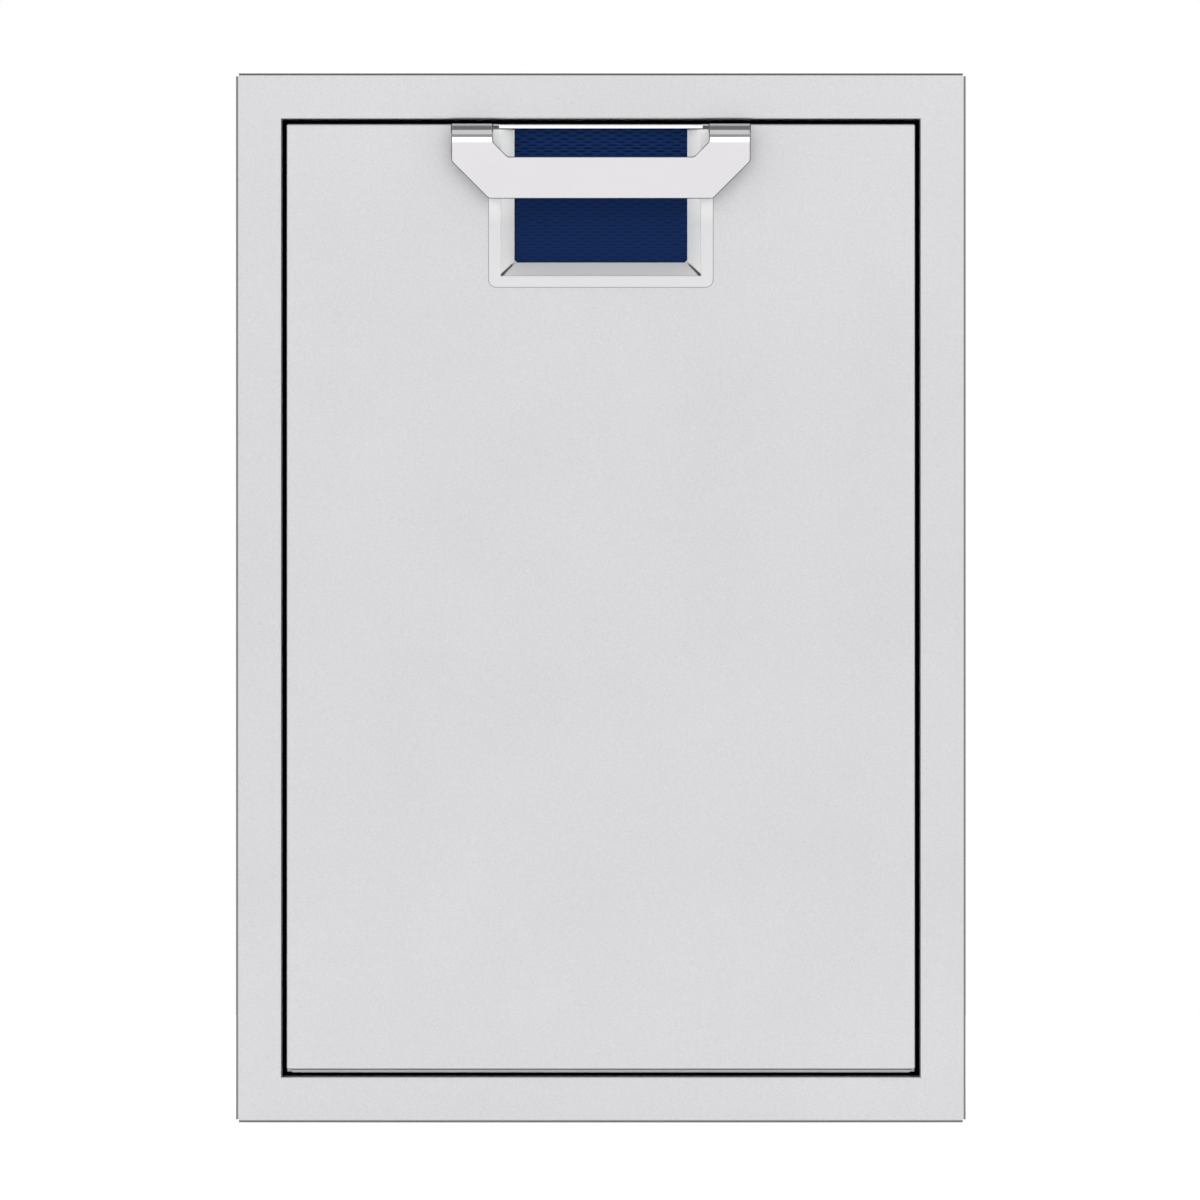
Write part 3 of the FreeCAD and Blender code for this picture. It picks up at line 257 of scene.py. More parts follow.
def bright_steel():
    """Smooth bright stainless of the handle, a little warm, with painted dark reflections on its eased edges
    and duller cut sides.
    """
    finish = Finish("bright_steel", Metallic=1.0)
    grain = finish.noise(900, 2.0, (0.15, 1.0, 1.0))
    cloud = finish.noise(14, 2.0)
    low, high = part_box("handle")
    forward = (low.y + HANDLE_BEND - finish.y).most(0)
    upward = (finish.z - high.z + HANDLE_BEND).most(0)
    depth = HANDLE_BEND - forward.math("SQRT", forward * forward + upward * upward)
    ease_end = HANDLE_EASE + 0.2 * MM
    eased = depth.smooth(0.02 * MM, 0.08 * MM) * depth.smooth(ease_end, HANDLE_EASE)
    side = depth.smooth(HANDLE_EASE, ease_end)
    plate = finish.mix(cloud, (0.745, 0.73, 0.75, 1), (0.775, 0.76, 0.78, 1))
    plate = finish.mix(side, plate, finish.mix(grain, grey(0.5), grey(0.6)))
    # Painted shade: the eased edges are painted near black, standing for the dark they reflect
    finish.wire("Base Color", finish.mix(eased, plate, grey(0.05)))
    finish.wire("Roughness", 0.07 + grain * 0.03 + cloud * 0.02 + eased * 0.3 + side * 0.15)
    finish.bump(grain, 0.01 * MM, 0.15)
    return finish.material


def satin_steel():
    """Soft satin stainless of the pocket's border and flaps: the flaps painted paler than the border, and
    both painted paler still where the handle shades them.
    """
    finish = Finish("satin_steel", Specular_IOR_Level=0.3)
    grain = finish.noise(1100, 2.0)
    cloud = finish.noise(20, 2.0)
    low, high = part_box("pocket_bezel")
    border_side, border_foot = 8.3 * MM, 7.6 * MM
    flap = finish.y.smooth(low.y + 0.2 * MM, low.y + 0.6 * MM)
    past_mitre = finish.x.size() - (high.x - border_side) + finish.z - (low.z + border_foot)
    side_flap = flap * past_mitre.smooth(0, 0.3 * MM)
    # Painted light: near the handle the border and the side flaps are painted paler, offsetting the handle's
    # shade
    handle_shade_lift = finish.z.smooth(high.z - 68 * MM, high.z - 48 * MM)
    border = finish.mix(grain * 0.6 + cloud * 0.4, grey(0.57, 0.015), grey(0.625, 0.015))
    border = finish.mix(handle_shade_lift, border, grey(0.8))
    side = finish.mix(handle_shade_lift, grey(0.74), grey(0.98))
    # Painted light: the folded flaps are painted a paler grey than the border
    shade = finish.mix(flap, border, grey(0.74))
    finish.wire("Base Color", finish.mix(side_flap, shade, side))
    finish.wire("Metallic", 0.6 - flap * 0.25)
    finish.wire("Roughness", 0.36 + grain * 0.06 + cloud * 0.04 - side_flap * 0.2)
    finish.bump(grain, 0.02 * MM, 0.4)
    return finish.material


def rolled_steel(name, stretch):
    """Mill-rolled stainless: fine rolling lines over broader bands, and soft smudges from handling."""
    finish = Finish(name, Metallic=1.0)
    lines = finish.noise(900, 3.0, stretch).smooth(0.25, 0.75)
    bands = finish.noise(110, 3.0, stretch).smooth(0.2, 0.8)
    smudge = finish.noise(5, 4.0).smooth(0.3, 0.75)
    tone = lines * 0.5 + bands * 0.2 + smudge * 0.3
    finish.wire("Base Color", finish.mix(tone, grey(0.42), grey(0.58)))
    finish.wire("Roughness", 0.33 + lines * 0.03 + smudge * 0.06)
    finish.bump(lines + bands * 0.5, 0.01 * MM, 0.25)
    return finish.material


def sheet_steel():
    """Sheets that were rolled front to back: housing sides, base and carriage."""
    return rolled_steel("sheet_steel", (1.0, 0.005, 1.0))


def cross_steel():
    """Sheets that were rolled side to side: back, liner and cross pieces."""
    return rolled_steel("cross_steel", (0.005, 1.0, 1.0))


def zinc_steel():
    """Bright zinc-plated rails and hardware, with a cool mottled bloom."""
    finish = Finish("zinc_steel", Metallic=1.0)
    bloom = finish.noise(60, 3.0)
    drawn = finish.noise(1100, 2.0, (1.0, 0.01, 1.0))
    finish.wire("Base Color", finish.mix(bloom, (0.5, 0.54, 0.6, 1), (0.68, 0.69, 0.71, 1)))
    finish.wire("Roughness", 0.2 + bloom * 0.14 + drawn * 0.08)
    finish.bump(drawn, 0.01 * MM, 0.25)
    return finish.material


def ball_steel():
    """Polished ball steel under a thin film of grease."""
    finish = Finish("ball_steel", Metallic=1.0)
    film = finish.noise(300, 2.0)
    finish.wire("Base Color", finish.mix(film, grey(0.72), grey(0.8)))
    finish.wire("Roughness", 0.06 + film * 0.06)
    return finish.material


def dash_distance(x, down):
    """Square of the way from the middle of the nearest dash, 1 at its edge; for numbers and for wires."""
    place = down / DASH_PITCH + 0.5
    over = place % 1
    row = place - over
    across = (over - 0.5) * (DASH_PITCH / DASH_HALF_TALL)
    along = (x + DASH_SHIFT + (row % 2 + 1) * (DASH_PERIOD / 2)) % DASH_PERIOD - DASH_PERIOD / 2
    along = along / DASH_HALF_LONG
    return across * across + along * along


def navy_paint():
    """Navy coating over a rolled texture of staggered short dashes, deepest under the top edge; painted
    shade darkens the dashes and the coating is painted lighter under the top edge.
    """
    finish = Finish("navy_paint", Specular_IOR_Level=0.02)
    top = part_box("accent_panel")[1].z
    speck = finish.noise(1500, 2.0)
    wander = finish.noise(160, 2.0)
    dent = dash_distance(finish.x, top - DASH_DROP - finish.z).smooth(DASH_RIM, DASH_BED)
    depth = finish.z.smooth(top - DASH_HALF_DROP, top - DASH_FULL_DROP) * 0.5 + 0.5
    dent = dent * depth * (0.5 + wander)
    body = finish.mix(speck, (0.006, 0.0187, 0.074, 1), (0.0068, 0.0212, 0.083, 1))
    # Painted light: the coating is painted lighter towards the top, under the shade of the rim and handle
    body = finish.mix(depth * 2 - 1, body, (0.0085, 0.029, 0.11, 1))
    # Painted shade: the pressed dashes are painted a darker navy, more so towards the top
    finish.wire("Base Color", finish.mix(dent, body, (0.0004, 0.0098, 0.05, 1)))
    finish.wire("Roughness", 0.42 + speck * 0.1)
    finish.bump(speck, 0.01 * MM, 0.8)
    return finish.material


def black_rubber():
    """Matt black rubber of the seal and the bumpers."""
    finish = Finish("black_rubber", Specular_IOR_Level=0.05)
    bloom = finish.noise(220, 3.0)
    finish.wire("Base Color", finish.mix(bloom, grey(0.001), grey(0.003)))
    finish.wire("Roughness", 0.75 + bloom * 0.2)
    finish.bump(bloom, 0.05 * MM, 0.5)
    return finish.material


def bin_plastic():
    """Charcoal moulded plastic with a fine leathered grain and light scuffs."""
    finish = Finish("bin_plastic")
    cells = {"feature": "DISTANCE_TO_EDGE"}
    grain = finish.place.out("ShaderNodeTexVoronoi", cells, i0=finish.place, Scale=900.0)
    scuff = finish.noise(22, 5.0, (1.0, 1.0, 0.15))
    finish.wire("Base Color", finish.mix(scuff.smooth(0.45, 0.8), grey(0.03), grey(0.05)))
    finish.wire("Roughness", 0.5 + scuff * 0.2)
    finish.bump(grain, 0.1 * MM, 0.5)
    return finish.material


def cage_plastic():
    """Natural nylon of the ball cages."""
    finish = Finish("cage_plastic")
    flow = finish.noise(120, 3.0, (1.0, 0.1, 1.0))
    finish.wire("Base Color", finish.mix(flow, (0.62, 0.6, 0.53, 1), (0.74, 0.72, 0.66, 1)))
    finish.wire("Roughness", 0.4 + flow * 0.15)
    finish.bump(flow, 0.03 * MM, 0.4)
    return finish.material


MAKERS = (panel_steel, bright_steel, satin_steel, sheet_steel, cross_steel, zinc_steel, ball_steel,
          navy_paint, black_rubber, bin_plastic, cage_plastic)
FINISHES = {maker.__name__: maker() for maker in MAKERS}
# Each material slot has the finish of its own name, apart from these slots and nodes
FINISH_OF_SLOT = {"handle_steel": "bright_steel"}
FINISH_OF_NODE = {"pocket_bezel": "satin_steel", "back_panel": "cross_steel", "front_liner": "cross_steel",
                  "bin_divider": "cross_steel", "bin_stops": "cross_steel"}


def dress_nodes():
    """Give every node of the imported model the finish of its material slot."""
    for name, slot in SLOT_OF.items():
        finish = FINISH_OF_NODE.get(name, FINISH_OF_SLOT.get(slot, slot))
        node = NODES[name]
        node.data.materials.clear()
        node.data.materials.append(FINISHES[finish])


def stands_for(piece, node):
    """Let a piece take a node's place, on the same body."""
    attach(piece, BODY_OF[node])
    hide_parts(node)


def soften(mesh, sharp_degrees):
    """Smooth shading, with edges above an angle left sharp."""
    mesh.shade_smooth()
    mesh.set_sharp_from_angle(angle=math.radians(sharp_degrees))


def face_outwards(mesh):
    work = bmesh.new()
    work.from_mesh(mesh)
    bmesh.ops.recalc_face_normals(work, faces=work.faces)
    work.to_mesh(mesh)
    work.free()


def finished(mesh, finish, sharp_degrees, node):
    """Dress a closed mesh and put it in a node's place."""
    face_outwards(mesh)
    mesh.materials.append(FINISHES[finish])
    soften(mesh, sharp_degrees)
    piece = bpy.data.objects.new(mesh.name, mesh)
    bpy.context.scene.collection.objects.link(piece)
    stands_for(piece, node)


def islands(node):
    """The lowest and highest corner of each separate solid of a node."""
    work = bmesh.new()
    work.from_mesh(NODES[node].data)
    bmesh.ops.remove_doubles(work, verts=work.verts, dist=1e-6)
    boxes = []
    left = set(work.verts)
    while left:
        pile = [left.pop()]
        found = []
        while pile:
            vert = pile.pop()
            found.append(tuple(vert.co))
            joined = {edge.other_vert(vert) for edge in vert.link_edges} & left
            left -= joined
            pile.extend(joined)
        boxes.append((Vector(map(min, zip(*found))), Vector(map(max, zip(*found)))))
    work.free()
    return sorted(boxes, key=lambda box: tuple(box[0]))


class Tree:
    """A Geometry Nodes tree with named sizes, from points to shapes that stand on them."""

    def __init__(self, name, sizes):
        self.tree = bpy.data.node_groups.new(name, "GeometryNodeTree")
        face = self.tree.interface
        face.new_socket("Points", in_out="INPUT", socket_type="NodeSocketGeometry")
        for size in sizes:
            face.new_socket(size, in_out="INPUT", socket_type="NodeSocketFloat")
        face.new_socket("Shapes", in_out="OUTPUT", socket_type="NodeSocketGeometry")
        start = self.tree.nodes.new("NodeGroupInput")
        self.points = Wire(self.tree, start.outputs["Points"])
        self.sizes = {size: Wire(self.tree, start.outputs[size]) for size in sizes}

    def stand(self, shape, finish):
        """Put a copy of the shape on each point, its Z along the point's outward way, and close the tree."""
        outward = shape.out("GeometryNodeInputNamedAttribute", {"data_type": "FLOAT_VECTOR"}, Name="outward")
        turn = shape.out("FunctionNodeAlignRotationToVector", {"axis": "Z"}, Vector=outward)
        copies = shape.out("GeometryNodeInstanceOnPoints", Points=self.points, Instance=shape, Rotation=turn)
        real = shape.out("GeometryNodeRealizeInstances", i0=copies)
        dressed = shape.out("GeometryNodeSetMaterial", Geometry=real, Material=FINISHES[finish])
        end = self.tree.nodes.new("NodeGroupOutput")
        self.tree.links.new(dressed.socket, end.inputs[0])
        return self.tree


TURN_STEPS = 24
HEAD_SHARP = 35


def turned(tree, rings):
    """A closed turned shape from rings of (radius, height, hexagon or not), first and last on its axis."""
    last = len(rings) - 1
    grid = tree.points.node("GeometryNodeMeshGrid", Size_X=1.0, Size_Y=1.0, Vertices_X=TURN_STEPS + 1,
                            Vertices_Y=last + 1)
    grid = Wire(tree.tree, grid.outputs["Mesh"])
    place = grid.out("GeometryNodeInputPosition")
    parts = grid.node("ShaderNodeSeparateXYZ", i0=place)
    angle = (Wire(tree.tree, parts.outputs[0]) + 0.5) * math.tau
    ring = (Wire(tree.tree, parts.outputs[1]) + 0.5) * last
    sixth = angle % (math.tau / 6) - math.tau / 12
    flat = 1 / sixth.math("COSINE", sixth)
    radius, height = 0, 0
    for index, (reach, level, is_hexagon) in enumerate(rings):
        here = (1 - (ring - index).size()).most(0)
        radius = here * reach * (flat if is_hexagon else 1) + radius
        height = here * level + height
    spot = grid.out("ShaderNodeCombineXYZ", i0=radius * angle.math("COSINE", angle),
                    i1=radius * angle.math("SINE", angle), i2=height)
    moved = grid.out("GeometryNodeSetPosition", Geometry=grid, Position=spot)
    return grid.out("GeometryNodeMergeByDistance", Geometry=moved, Distance=1e-6)


def head_tree(name, profile):
    """A turned fastener head from its profile: shares of the radius and the height, and hexagon or not."""
    tree = Tree(name, ("Radius", "Height"))
    radius, height = tree.sizes["Radius"], tree.sizes["Height"]
    rings = [(radius * out, height * up, bool(is_hexagon)) for out, up, is_hexagon in profile]
    return tree.stand(turned(tree, rings), "zinc_steel")


def rivet_tree():
    """Domed blind rivet with the broken mandrel sunk in its middle."""
    return head_tree("rivet_heads", [
        (0, 0.62, 0), (0.24, 0.62, 0), (0.27, 0.55, 0), (0.31, 0.97, 0), (0.36, 1.0, 0), (0.55, 0.93, 0),
        (0.75, 0.74, 0), (0.9, 0.48, 0), (0.98, 0.22, 0), (1.0, 0.08, 0), (1.0, 0, 0), (0, 0, 0)])


def screw_tree():
    """Button-head screw with a hexagon socket and a thin washer face."""
    return head_tree("screw_heads", [
        (0, 0.28, 0), (0.36, 0.36, 1), (0.4, 0.95, 1), (0.43, 1.0, 1), (0.56, 0.97, 0), (0.72, 0.86, 0),
        (0.86, 0.66, 0), (0.93, 0.4, 0), (0.94, 0.2, 0), (0.99, 0.18, 0), (1.0, 0.12, 0), (1.0, 0, 0),
        (0, 0, 0)])


def ball_tree():
    """Polished bearing balls."""
    tree = Tree("bearing_balls", ("Radius",))
    ball = tree.points.out("GeometryNodeMeshIcoSphere", Radius=tree.sizes["Radius"], Subdivisions=3)
    return tree.stand(ball, "ball_steel")


def grow(name, tree, points, sizes):
    """Run a tree over points, given as (place, outward way), and keep the result as a plain mesh."""
    mesh = bpy.data.meshes.new(name)
    mesh.from_pydata([place for place, way in points], [], [])
    ways = mesh.attributes.new("outward", "FLOAT_VECTOR", "POINT")
    for item, (place, way) in zip(ways.data, points):
        item.vector = way
    piece = bpy.data.objects.new(name, mesh)
    bpy.context.scene.collection.objects.link(piece)
    modifier = piece.modifiers.new(name, "NODES")
    modifier.node_group = tree
    for socket in tree.interface.items_tree:
        if socket.in_out == "INPUT" and socket.name in sizes:
            modifier[socket.identifier] = sizes[socket.name]
    solved = piece.evaluated_get(bpy.context.evaluated_depsgraph_get())
    made = bpy.data.meshes.new_from_object(solved)
    piece.modifiers.clear()
    piece.data = made
    face_outwards(made)
    soften(made, HEAD_SHARP)
    return piece


def heads(node, tree, towards_middle):
    """Fastener heads where the node has its solids, standing out along each solid's thin way."""
    boxes = islands(node)
    points = []
    for low, high in boxes:
        size = high - low
        middle = (low + high) / 2
        thin = min(range(3), key=lambda axis: size[axis])
        inwards = -1 if middle.x > 0 else 1
        way = Vector((0, 0, 0))
        way[thin] = 1 if thin == 1 else inwards * (1 if towards_middle else -1)
        seat = middle - way * size[thin] / 2
        points.append((seat, way))
    low, high = boxes[-1]
    size = high - low
    stands_for(grow(f"{node}_heads", tree, points, {"Radius": max(size) / 2, "Height": min(size)}), node)


def bearing_balls(node, tree, diameter):
    """Round balls where the node has its solids."""
    points = [((low + high) / 2, Vector((0, 0, 1))) for low, high in islands(node)]
    stands_for(grow(f"{node}_round", tree, points, {"Radius": diameter / 2}), node)


def hardware():
    """Rivets, screws and balls in the places of their plain solids."""
    rivet, screw, ball = rivet_tree(), screw_tree(), ball_tree()
    heads("housing_rivets", rivet, True)
    heads("carriage_rivets", rivet, True)
    heads("outer_rail_screws", screw, False)
    heads("inner_rail_screws", screw, True)
    heads("handle_screws", screw, True)
    for side in ("left", "right"):
        bearing_balls(f"{side}_outer_balls", ball, 4.4 * MM)
        bearing_balls(f"{side}_inner_balls", ball, 4.0 * MM)


CORNER_STEPS = 8
WALL_STEPS = 6
TUB_SHARP = 50
# Waste bins: wall, lean of the walls, rim past the wall, rim's drop, corner at the wall's top, least corner
TUB_WALL = 2.5 * MM
TUB_TAPER = 18 * MM
TUB_RIM = 11 * MM
TUB_LIP = 14 * MM
TUB_CORNER = 30 * MM
TUB_LEAST_CORNER = 6 * MM
# Section of the foot ring, from the underside's middle to the wall: inset from the wall's foot, level; in mm
TUB_FOOT = ((30, 1.2), (9, 1.2), (8, 0.2), (6.5, 0), (3, 0), (1, 0.9), (0, 3))
# Section of the cove, from the wall to the floor's middle: inset from the wall's foot, height; in mm
TUB_COVE = ((3.3, 6), (5.5, 2), (9.5, 0), (30, 0))


def rounded_loop(low, high, inset, corner, level):
    """Points round a rectangle with rounded corners, the same count for every loop."""
    points = []
    spots = [(high.x, high.y, 0), (low.x, high.y, 1), (low.x, low.y, 2), (high.x, low.y, 3)]
    for edge_x, edge_y, quarter in spots:
        x = edge_x - math.copysign(inset + corner, edge_x - (low.x + high.x) / 2)
        y = edge_y - math.copysign(inset + corner, edge_y - (low.y + high.y) / 2)
        for step in range(CORNER_STEPS + 1):
            angle = math.radians(90) * (quarter + step / CORNER_STEPS)
            points.append(Vector((x + corner * math.cos(angle), y + corner * math.sin(angle), level)))
    loop = []
    for index, point in enumerate(points):
        loop.append(point)
        if index % (CORNER_STEPS + 1) == CORNER_STEPS:
            after = points[(index + 1) % len(points)]
            loop.extend(point.lerp(after, step / WALL_STEPS) for step in range(1, WALL_STEPS))
    return loop


def tub_section(tall):
    """The tub's section as (inset, level): underside, outer wall with its bead, rim, inner wall, floor."""
    def lean(level):
        return TUB_RIM + TUB_TAPER * (1 - level / tall)

    foot = lean(0)
    section = [(foot + inset * MM, level * MM) for inset, level in TUB_FOOT]
    section += [(lean(tall * share), tall * share) for share in (0.03, 0.25, 0.5, 0.75)]

    bead, bead_out, bead_half, bead_run = tall - 48 * MM, 1.1 * MM, 1.5 * MM, 4 * MM
    section += [(lean(bead - bead_run), bead - bead_run), (lean(bead) - bead_out, bead - bead_half),
                (lean(bead) - bead_out, bead + bead_half), (lean(bead), bead + bead_run)]

    under = tall - TUB_WALL
    section += [(lean(under - 3 * MM), under - 3 * MM), (lean(under) - 0.8 * MM, under - 0.8 * MM),
                (lean(under) - 3 * MM, under)]
    lip = tall - TUB_LIP
    section += [(TUB_WALL + 1.5 * MM, under), (TUB_WALL + 0.3 * MM, under - 1.2 * MM),
                (TUB_WALL, lip + 0.8 * MM), (TUB_WALL - 0.6 * MM, lip), (0.6 * MM, lip),
                (0, lip + 0.8 * MM), (0, tall - 4 * MM), (0.5 * MM, tall - 1.6 * MM),
                (1.8 * MM, tall - 0.3 * MM), (3.5 * MM, tall)]

    mouth = TUB_RIM + TUB_WALL
    section += [(mouth - 2.5 * MM, tall), (mouth - 0.9 * MM, tall - 0.5 * MM),
                (mouth - 0.1 * MM, tall - 2 * MM)]
    section += [(lean(tall * share) + TUB_WALL, tall * share) for share in (0.98, 0.75, 0.5, 0.25, 0.04)]
    return section + [(foot + inset * MM, TUB_WALL + level * MM) for inset, level in TUB_COVE]


def waste_bin(node):
    """Moulded tub: foot ring, tapered walls, bead, turned-down rim with rounded edges, and coved floor."""
    low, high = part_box(node)
    work = bmesh.new()
    loops = []
    for inset, level in tub_section(high.z - low.z):
        rounding = max(TUB_CORNER + TUB_RIM - inset, TUB_LEAST_CORNER)
        loop = rounded_loop(low, high, inset, rounding, low.z + level)
        loops.append([work.verts.new(point) for point in loop])
    for first, second in zip(loops, loops[1:]):
        for index in range(len(first)):
            ahead = (index + 1) % len(first)
            work.faces.new((first[index], first[ahead], second[ahead], second[index]))
    work.faces.new(list(reversed(loops[0])))
    work.faces.new(loops[-1])
    mesh = bpy.data.meshes.new(f"{node}_tub")
    work.to_mesh(mesh)
    work.free()
    finished(mesh, "bin_plastic", TUB_SHARP, node)


EASE_STEPS = 6
BEND_STEPS = 14
PLATE_SHARP = 20


def eased_outline(corners):
    """The points of a flat outline, from corners as (across, along, rounding)."""
    points = []
    for index, (across, along, rounding) in enumerate(corners):
        here = Vector((across, along, 0))
        if not rounding:
            points.append(here)
            continue
        neighbours = (corners[index - 1], corners[(index + 1) % len(corners)])
        ways = [(Vector((*neighbour[:2], 0)) - here).normalized() for neighbour in neighbours]
        half = ways[0].angle(ways[1]) / 2
        centre = here + (ways[0] + ways[1]).normalized() * (rounding / math.sin(half))
        first, last = ((here + way * (rounding / math.tan(half)) - centre).normalized() for way in ways)
        turns = [first.slerp(last, step / EASE_STEPS) for step in range(EASE_STEPS + 1)]
        points.extend(centre + turn * rounding for turn in turns)
    return points


def bent(flat, start, runs):
    """Where a point of a flat plate comes to lie: it goes up from its start and folds back at each bend."""
    across, along, deep = flat
    spot, heading, inward = start.copy(), Vector((0, 0, 1)), Vector((0, 1, 0))
    for length, radius in runs:
        step = min(along, length)
        along -= step
        if radius:
            centre, angle = spot + inward * radius, step / radius
            heading, inward = (heading * math.cos(angle) + inward * math.sin(angle),
                               inward * math.cos(angle) - heading * math.sin(angle))
            spot = centre - inward * radius
        else:
            spot = spot + heading * step
    return Vector((across, 0, 0)) + spot + inward * deep


def in_order(work):
    """Places, edges and faces for a mesh, sorted, because a bevel makes its own in no fixed order."""
    verts = sorted(work.verts, key=lambda vert: tuple(vert.co))
    index_of = {vert: index for index, vert in enumerate(verts)}
    faces = []
    for face in work.faces:
        corners = [index_of[vert] for vert in face.verts]
        first = corners.index(min(corners))
        faces.append(corners[first:] + corners[:first])
    return [tuple(vert.co) for vert in verts], [], sorted(faces)


def handle_plate():
    """The handle: a thick plate cut to a chamfered U with eased edges, bent back over the front's top."""
    low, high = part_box("handle")
    thick, heel, tail = 5.0 * MM, 8.0 * MM, 22.0 * MM
    leg, band, chamfer, rounding = 28.7 * MM, 29.1 * MM, 26.0 * MM, 4.0 * MM
    rise = high.z - HANDLE_BEND - low.z
    reach = high.y - low.y - HANDLE_BEND - heel
    quarter = math.pi / 2
    runs = [(rise, 0), (HANDLE_BEND * quarter, HANDLE_BEND), (reach, 0), (heel * quarter, heel), (tail, 0)]
    end = sum(length for length, radius in runs)

    inner = high.x - leg
    right = [(high.x - chamfer, 0, rounding), (high.x, chamfer, rounding), (high.x, end, 0), (inner, end, 0),
             (inner, rise, rounding), (inner - rise + band, band, rounding)]
    left = [(-across, along, corner) for across, along, corner in reversed(right)]
    work = bmesh.new()
    front = work.faces.new([work.verts.new(point) for point in eased_outline(right + left)])
    walls = bmesh.ops.extrude_face_region(work, geom=[front])["geom"]
    for vert in (item for item in walls if isinstance(item, bmesh.types.BMVert)):
        vert.co.z = thick
    rims = [edge for edge in work.edges if edge.verts[0].co.z == edge.verts[1].co.z]
    bmesh.ops.recalc_face_normals(work, faces=work.faces)
    bmesh.ops.bevel(work, geom=rims, offset=HANDLE_EASE, segments=2, profile=0.5, affect="EDGES")
    bmesh.ops.triangulate(work, faces=work.faces)

    cuts, begin = [], 0
    for length, radius in runs:
        if radius:
            cuts += [begin + length * step / BEND_STEPS for step in range(BEND_STEPS + 1)]
            cuts += [begin - HANDLE_EASE, begin + length + HANDLE_EASE]
        begin += length
    for cut in cuts:
        bmesh.ops.bisect_plane(work, geom=[*work.verts, *work.edges, *work.faces], plane_co=(0, cut, 0),
                               plane_no=(0, 1, 0))
    start = Vector((0, low.y, low.z))
    for vert in work.verts:
        vert.co = bent(vert.co, start, runs)
    mesh = bpy.data.meshes.new("handle_plate")
    mesh.from_pydata(*in_order(work))
    work.free()
    finished(mesh, "bright_steel", PLATE_SHARP, "handle")


ACCENT_COLUMNS = 110
ACCENT_SHARP = 60
ACCENT_CUT = 5.0 * MM
ACCENT_MARGIN = 0.1 * MM
DASH_DEPTH = 0.2 * MM
# Levels of the mesh about each row of dashes
DASH_LEVELS = (-0.62 * MM, -0.27 * MM, 0.27 * MM, 0.62 * MM, DASH_PITCH / 2)


def smooth_step(value, low, high):
    """0 at low, 1 at high, eased between; low may be the greater."""
    share = min(max((value - low) / (high - low), 0), 1)
    return share * share * (3 - 2 * share)


def accent_levels(low, high, first):
    """The heights of the sheet's rows of vertices, from its bottom to its top."""
    dash_rows = range(-int(DASH_DROP / DASH_PITCH), int((first - low.z) / DASH_PITCH) + 1)
    levels = [first - row * DASH_PITCH - offset for row in dash_rows for offset in DASH_LEVELS]
    levels = [level for level in levels if low.z + ACCENT_MARGIN < level < high.z - ACCENT_MARGIN]
    return sorted([low.z, low.z + ACCENT_CUT, *levels, high.z])


def accent_sheet():
    """The pocket's navy sheet: lower corners cut off, the rolled dashes pressed into its front."""
    low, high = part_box("accent_panel")
    first = high.z - DASH_DROP
    levels = accent_levels(low, high, first)
    spots = []
    for level in levels:
        reach = high.x - max(low.z + ACCENT_CUT - level, 0)
        fade = 0.5 + 0.5 * smooth_step(level, high.z - DASH_HALF_DROP, high.z - DASH_FULL_DROP)
        for column in range(ACCENT_COLUMNS + 1):
            x = reach * (2 * column / ACCENT_COLUMNS - 1)
            inner = 0 < column < ACCENT_COLUMNS and low.z < level < high.z
            dent = smooth_step(dash_distance(x, first - level), DASH_RIM, DASH_BED) if inner else 0
            spots.append((x, low.y + DASH_DEPTH * fade * dent, level))

    wide, tall = ACCENT_COLUMNS + 1, len(levels)
    faces = []
    for row in range(tall - 1):
        for corner in range(row * wide, row * wide + wide - 1):
            faces.append((corner, corner + 1, corner + 1 + wide, corner + wide))
    last = wide * (tall - 1)
    right_side = range(wide - 1, last, wide)
    left_side = range(last, 0, -wide)
    ring = [*range(wide - 1), *right_side, *range(last + wide - 1, last, -1), *left_side]
    back = len(spots)
    spots += [(spots[spot][0], high.y, spots[spot][2]) for spot in ring]
    middle = len(spots)
    spots.append((0, high.y, (low.z + high.z) / 2))
    for index, spot in enumerate(ring):
        ahead = (index + 1) % len(ring)
        faces.append((spot, ring[ahead], back + ahead, back + index))
        faces.append((middle, back + index, back + ahead))
    mesh = bpy.data.meshes.new("accent_sheet")
    mesh.from_pydata(spots, [], faces)
    finished(mesh, "navy_paint", ACCENT_SHARP, "accent_panel")


LENS_MM = 1000.0
SENSOR_MM = 36.0
VIEW_WIDTH = 0.8354
VIEW_LEFT = 0.6 * MM
VIEW_DOWN = 1.5 * MM


def camera():
    """Square on to the front, from far enough that the depth hardly shows."""
    data = bpy.data.cameras.new("camera")
    data.lens = LENS_MM
    data.sensor_width = SENSOR_MM
    distance = VIEW_WIDTH * LENS_MM / SENSOR_MM
    eye = bpy.data.objects.new("camera", data)
    low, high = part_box("face_frame")
    eye.location = (-VIEW_LEFT, low.y - distance, (low.z + high.z) / 2 - VIEW_DOWN)
    eye.rotation_euler = (math.radians(90), 0, 0)
    bpy.context.scene.collection.objects.link(eye)
    bpy.context.scene.camera = eye


FLOOR_HALF = 6.0
FLOOR_DROP = 0.5 * MM


def floor():
    """White seamless floor under the flange."""
    mesh = bpy.data.meshes.new("floor")
    half = FLOOR_HALF
    corners = [(-half, -half, 0), (half, -half, 0), (half, half, 0), (-half, half, 0)]
    mesh.from_pydata(corners, [], [(0, 1, 2, 3)])
    plane = bpy.data.objects.new("floor", mesh)
    plane.location.z = cad_box[0].z - FLOOR_DROP
    finish = Finish("floor_white", Emission_Color=grey(1.0), Emission_Strength=0.5)
    finish.wire("Base Color", finish.mix(finish.noise(3, 2.0), grey(0.86), grey(0.9)))
    finish.wire("Roughness", 0.6 + finish.noise(40) * 0.1)
    plane.data.materials.append(finish.material)
    bpy.context.scene.collection.objects.link(plane)


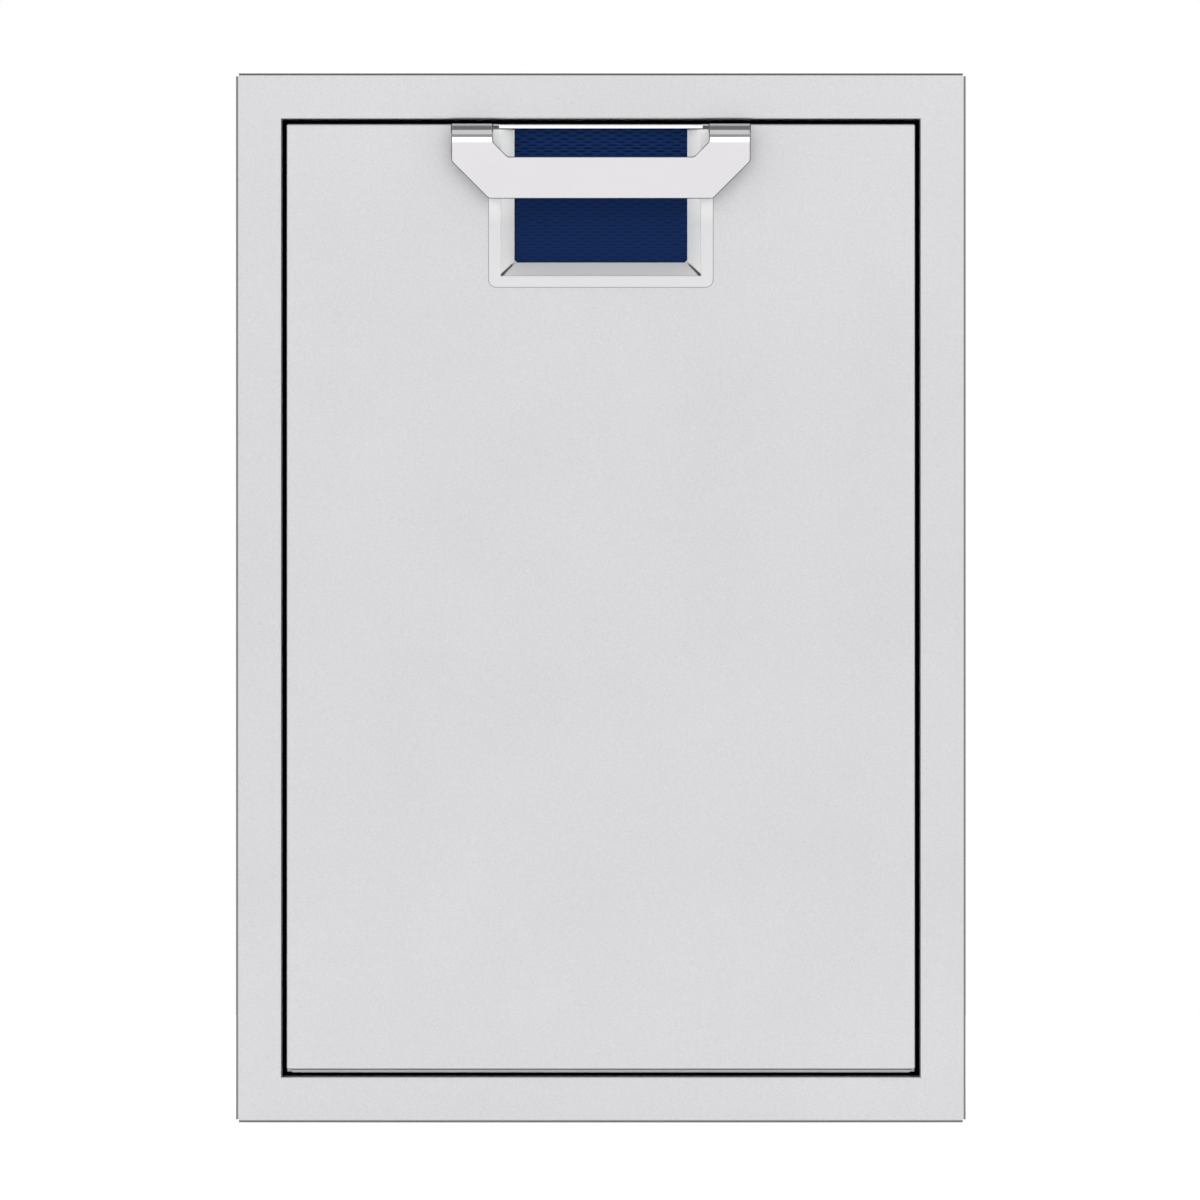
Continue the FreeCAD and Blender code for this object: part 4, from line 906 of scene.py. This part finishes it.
# Brightness of the tent along a strip from the horizon in front (0) over the top to the horizon behind (1):
# these bands are what the handle's bend shows
STRIP_LIGHT = ((0.0, 0.57), (0.008, 0.58), (0.018, 1.0), (0.16, 1.0), (0.174, 0.22), (0.264, 0.22),
               (0.278, 0.45), (0.447, 0.45), (0.462, 0.12), (0.78, 0.12), (0.8, 0.5), (1.0, 0.5))
# Brightness of the rest of the tent, from the horizon (0) to straight up (0.5)
TENT_LIGHT = ((0.0, 0.55), (0.012, 0.6), (0.03, 0.85), (0.16, 0.85), (0.2, 0.6), (0.5, 0.62))
TENT_STRENGTH = 1.68
# Degrees off the middle where the strip starts to fade into the tent, and where it has
STRIP_EDGE = 10
STRIP_END = 28


def studio():
    """A white tent round the object with a banded strip overhead, seen as pure white by the camera."""
    world = bpy.data.worlds.new("studio")
    bpy.context.scene.world = world
    world.use_nodes = True
    tree = world.node_tree
    tree.nodes.clear()
    result = tree.nodes.new("ShaderNodeOutputWorld")
    places = tree.nodes.new("ShaderNodeTexCoord")
    way = Wire(tree, places.outputs["Generated"])
    parts = way.node("ShaderNodeSeparateXYZ", i0=way)
    side, depth, rise = (Wire(tree, socket) for socket in parts.outputs)
    turn = rise.math("ARCTAN2", rise, 0 - depth) / math.pi
    climb = rise.math("ARCSINE", rise) / math.pi

    def banded(place, light):
        stops = [(share, grey(tone)) for share, tone in light]
        return place.out("ShaderNodeValToRGB", {"stops": stops}, i0=place)

    aside = side.size().smooth(math.sin(math.radians(STRIP_EDGE)), math.sin(math.radians(STRIP_END)))
    tent = way.out("ShaderNodeMix", {"data_type": "RGBA"}, 2, i0=aside, i6=banded(turn, STRIP_LIGHT),
                   i7=banded(climb, TENT_LIGHT))
    light = tent.out("ShaderNodeBackground", Color=tent, Strength=TENT_STRENGTH)
    backdrop = tent.out("ShaderNodeBackground", Color=grey(1.0), Strength=1.0)
    path = tree.nodes.new("ShaderNodeLightPath")
    to_camera = Wire(tree, path.outputs["Is Camera Ray"])
    shown = tent.out("ShaderNodeMixShader", i0=to_camera, i1=light, i2=backdrop)
    tree.links.new(shown.socket, result.inputs["Surface"])
    bpy.context.scene.view_settings.view_transform = "Standard"


dress_nodes()
hardware()
waste_bin("front_bin")
waste_bin("rear_bin")
handle_plate()
accent_sheet()
camera()
floor()
studio()
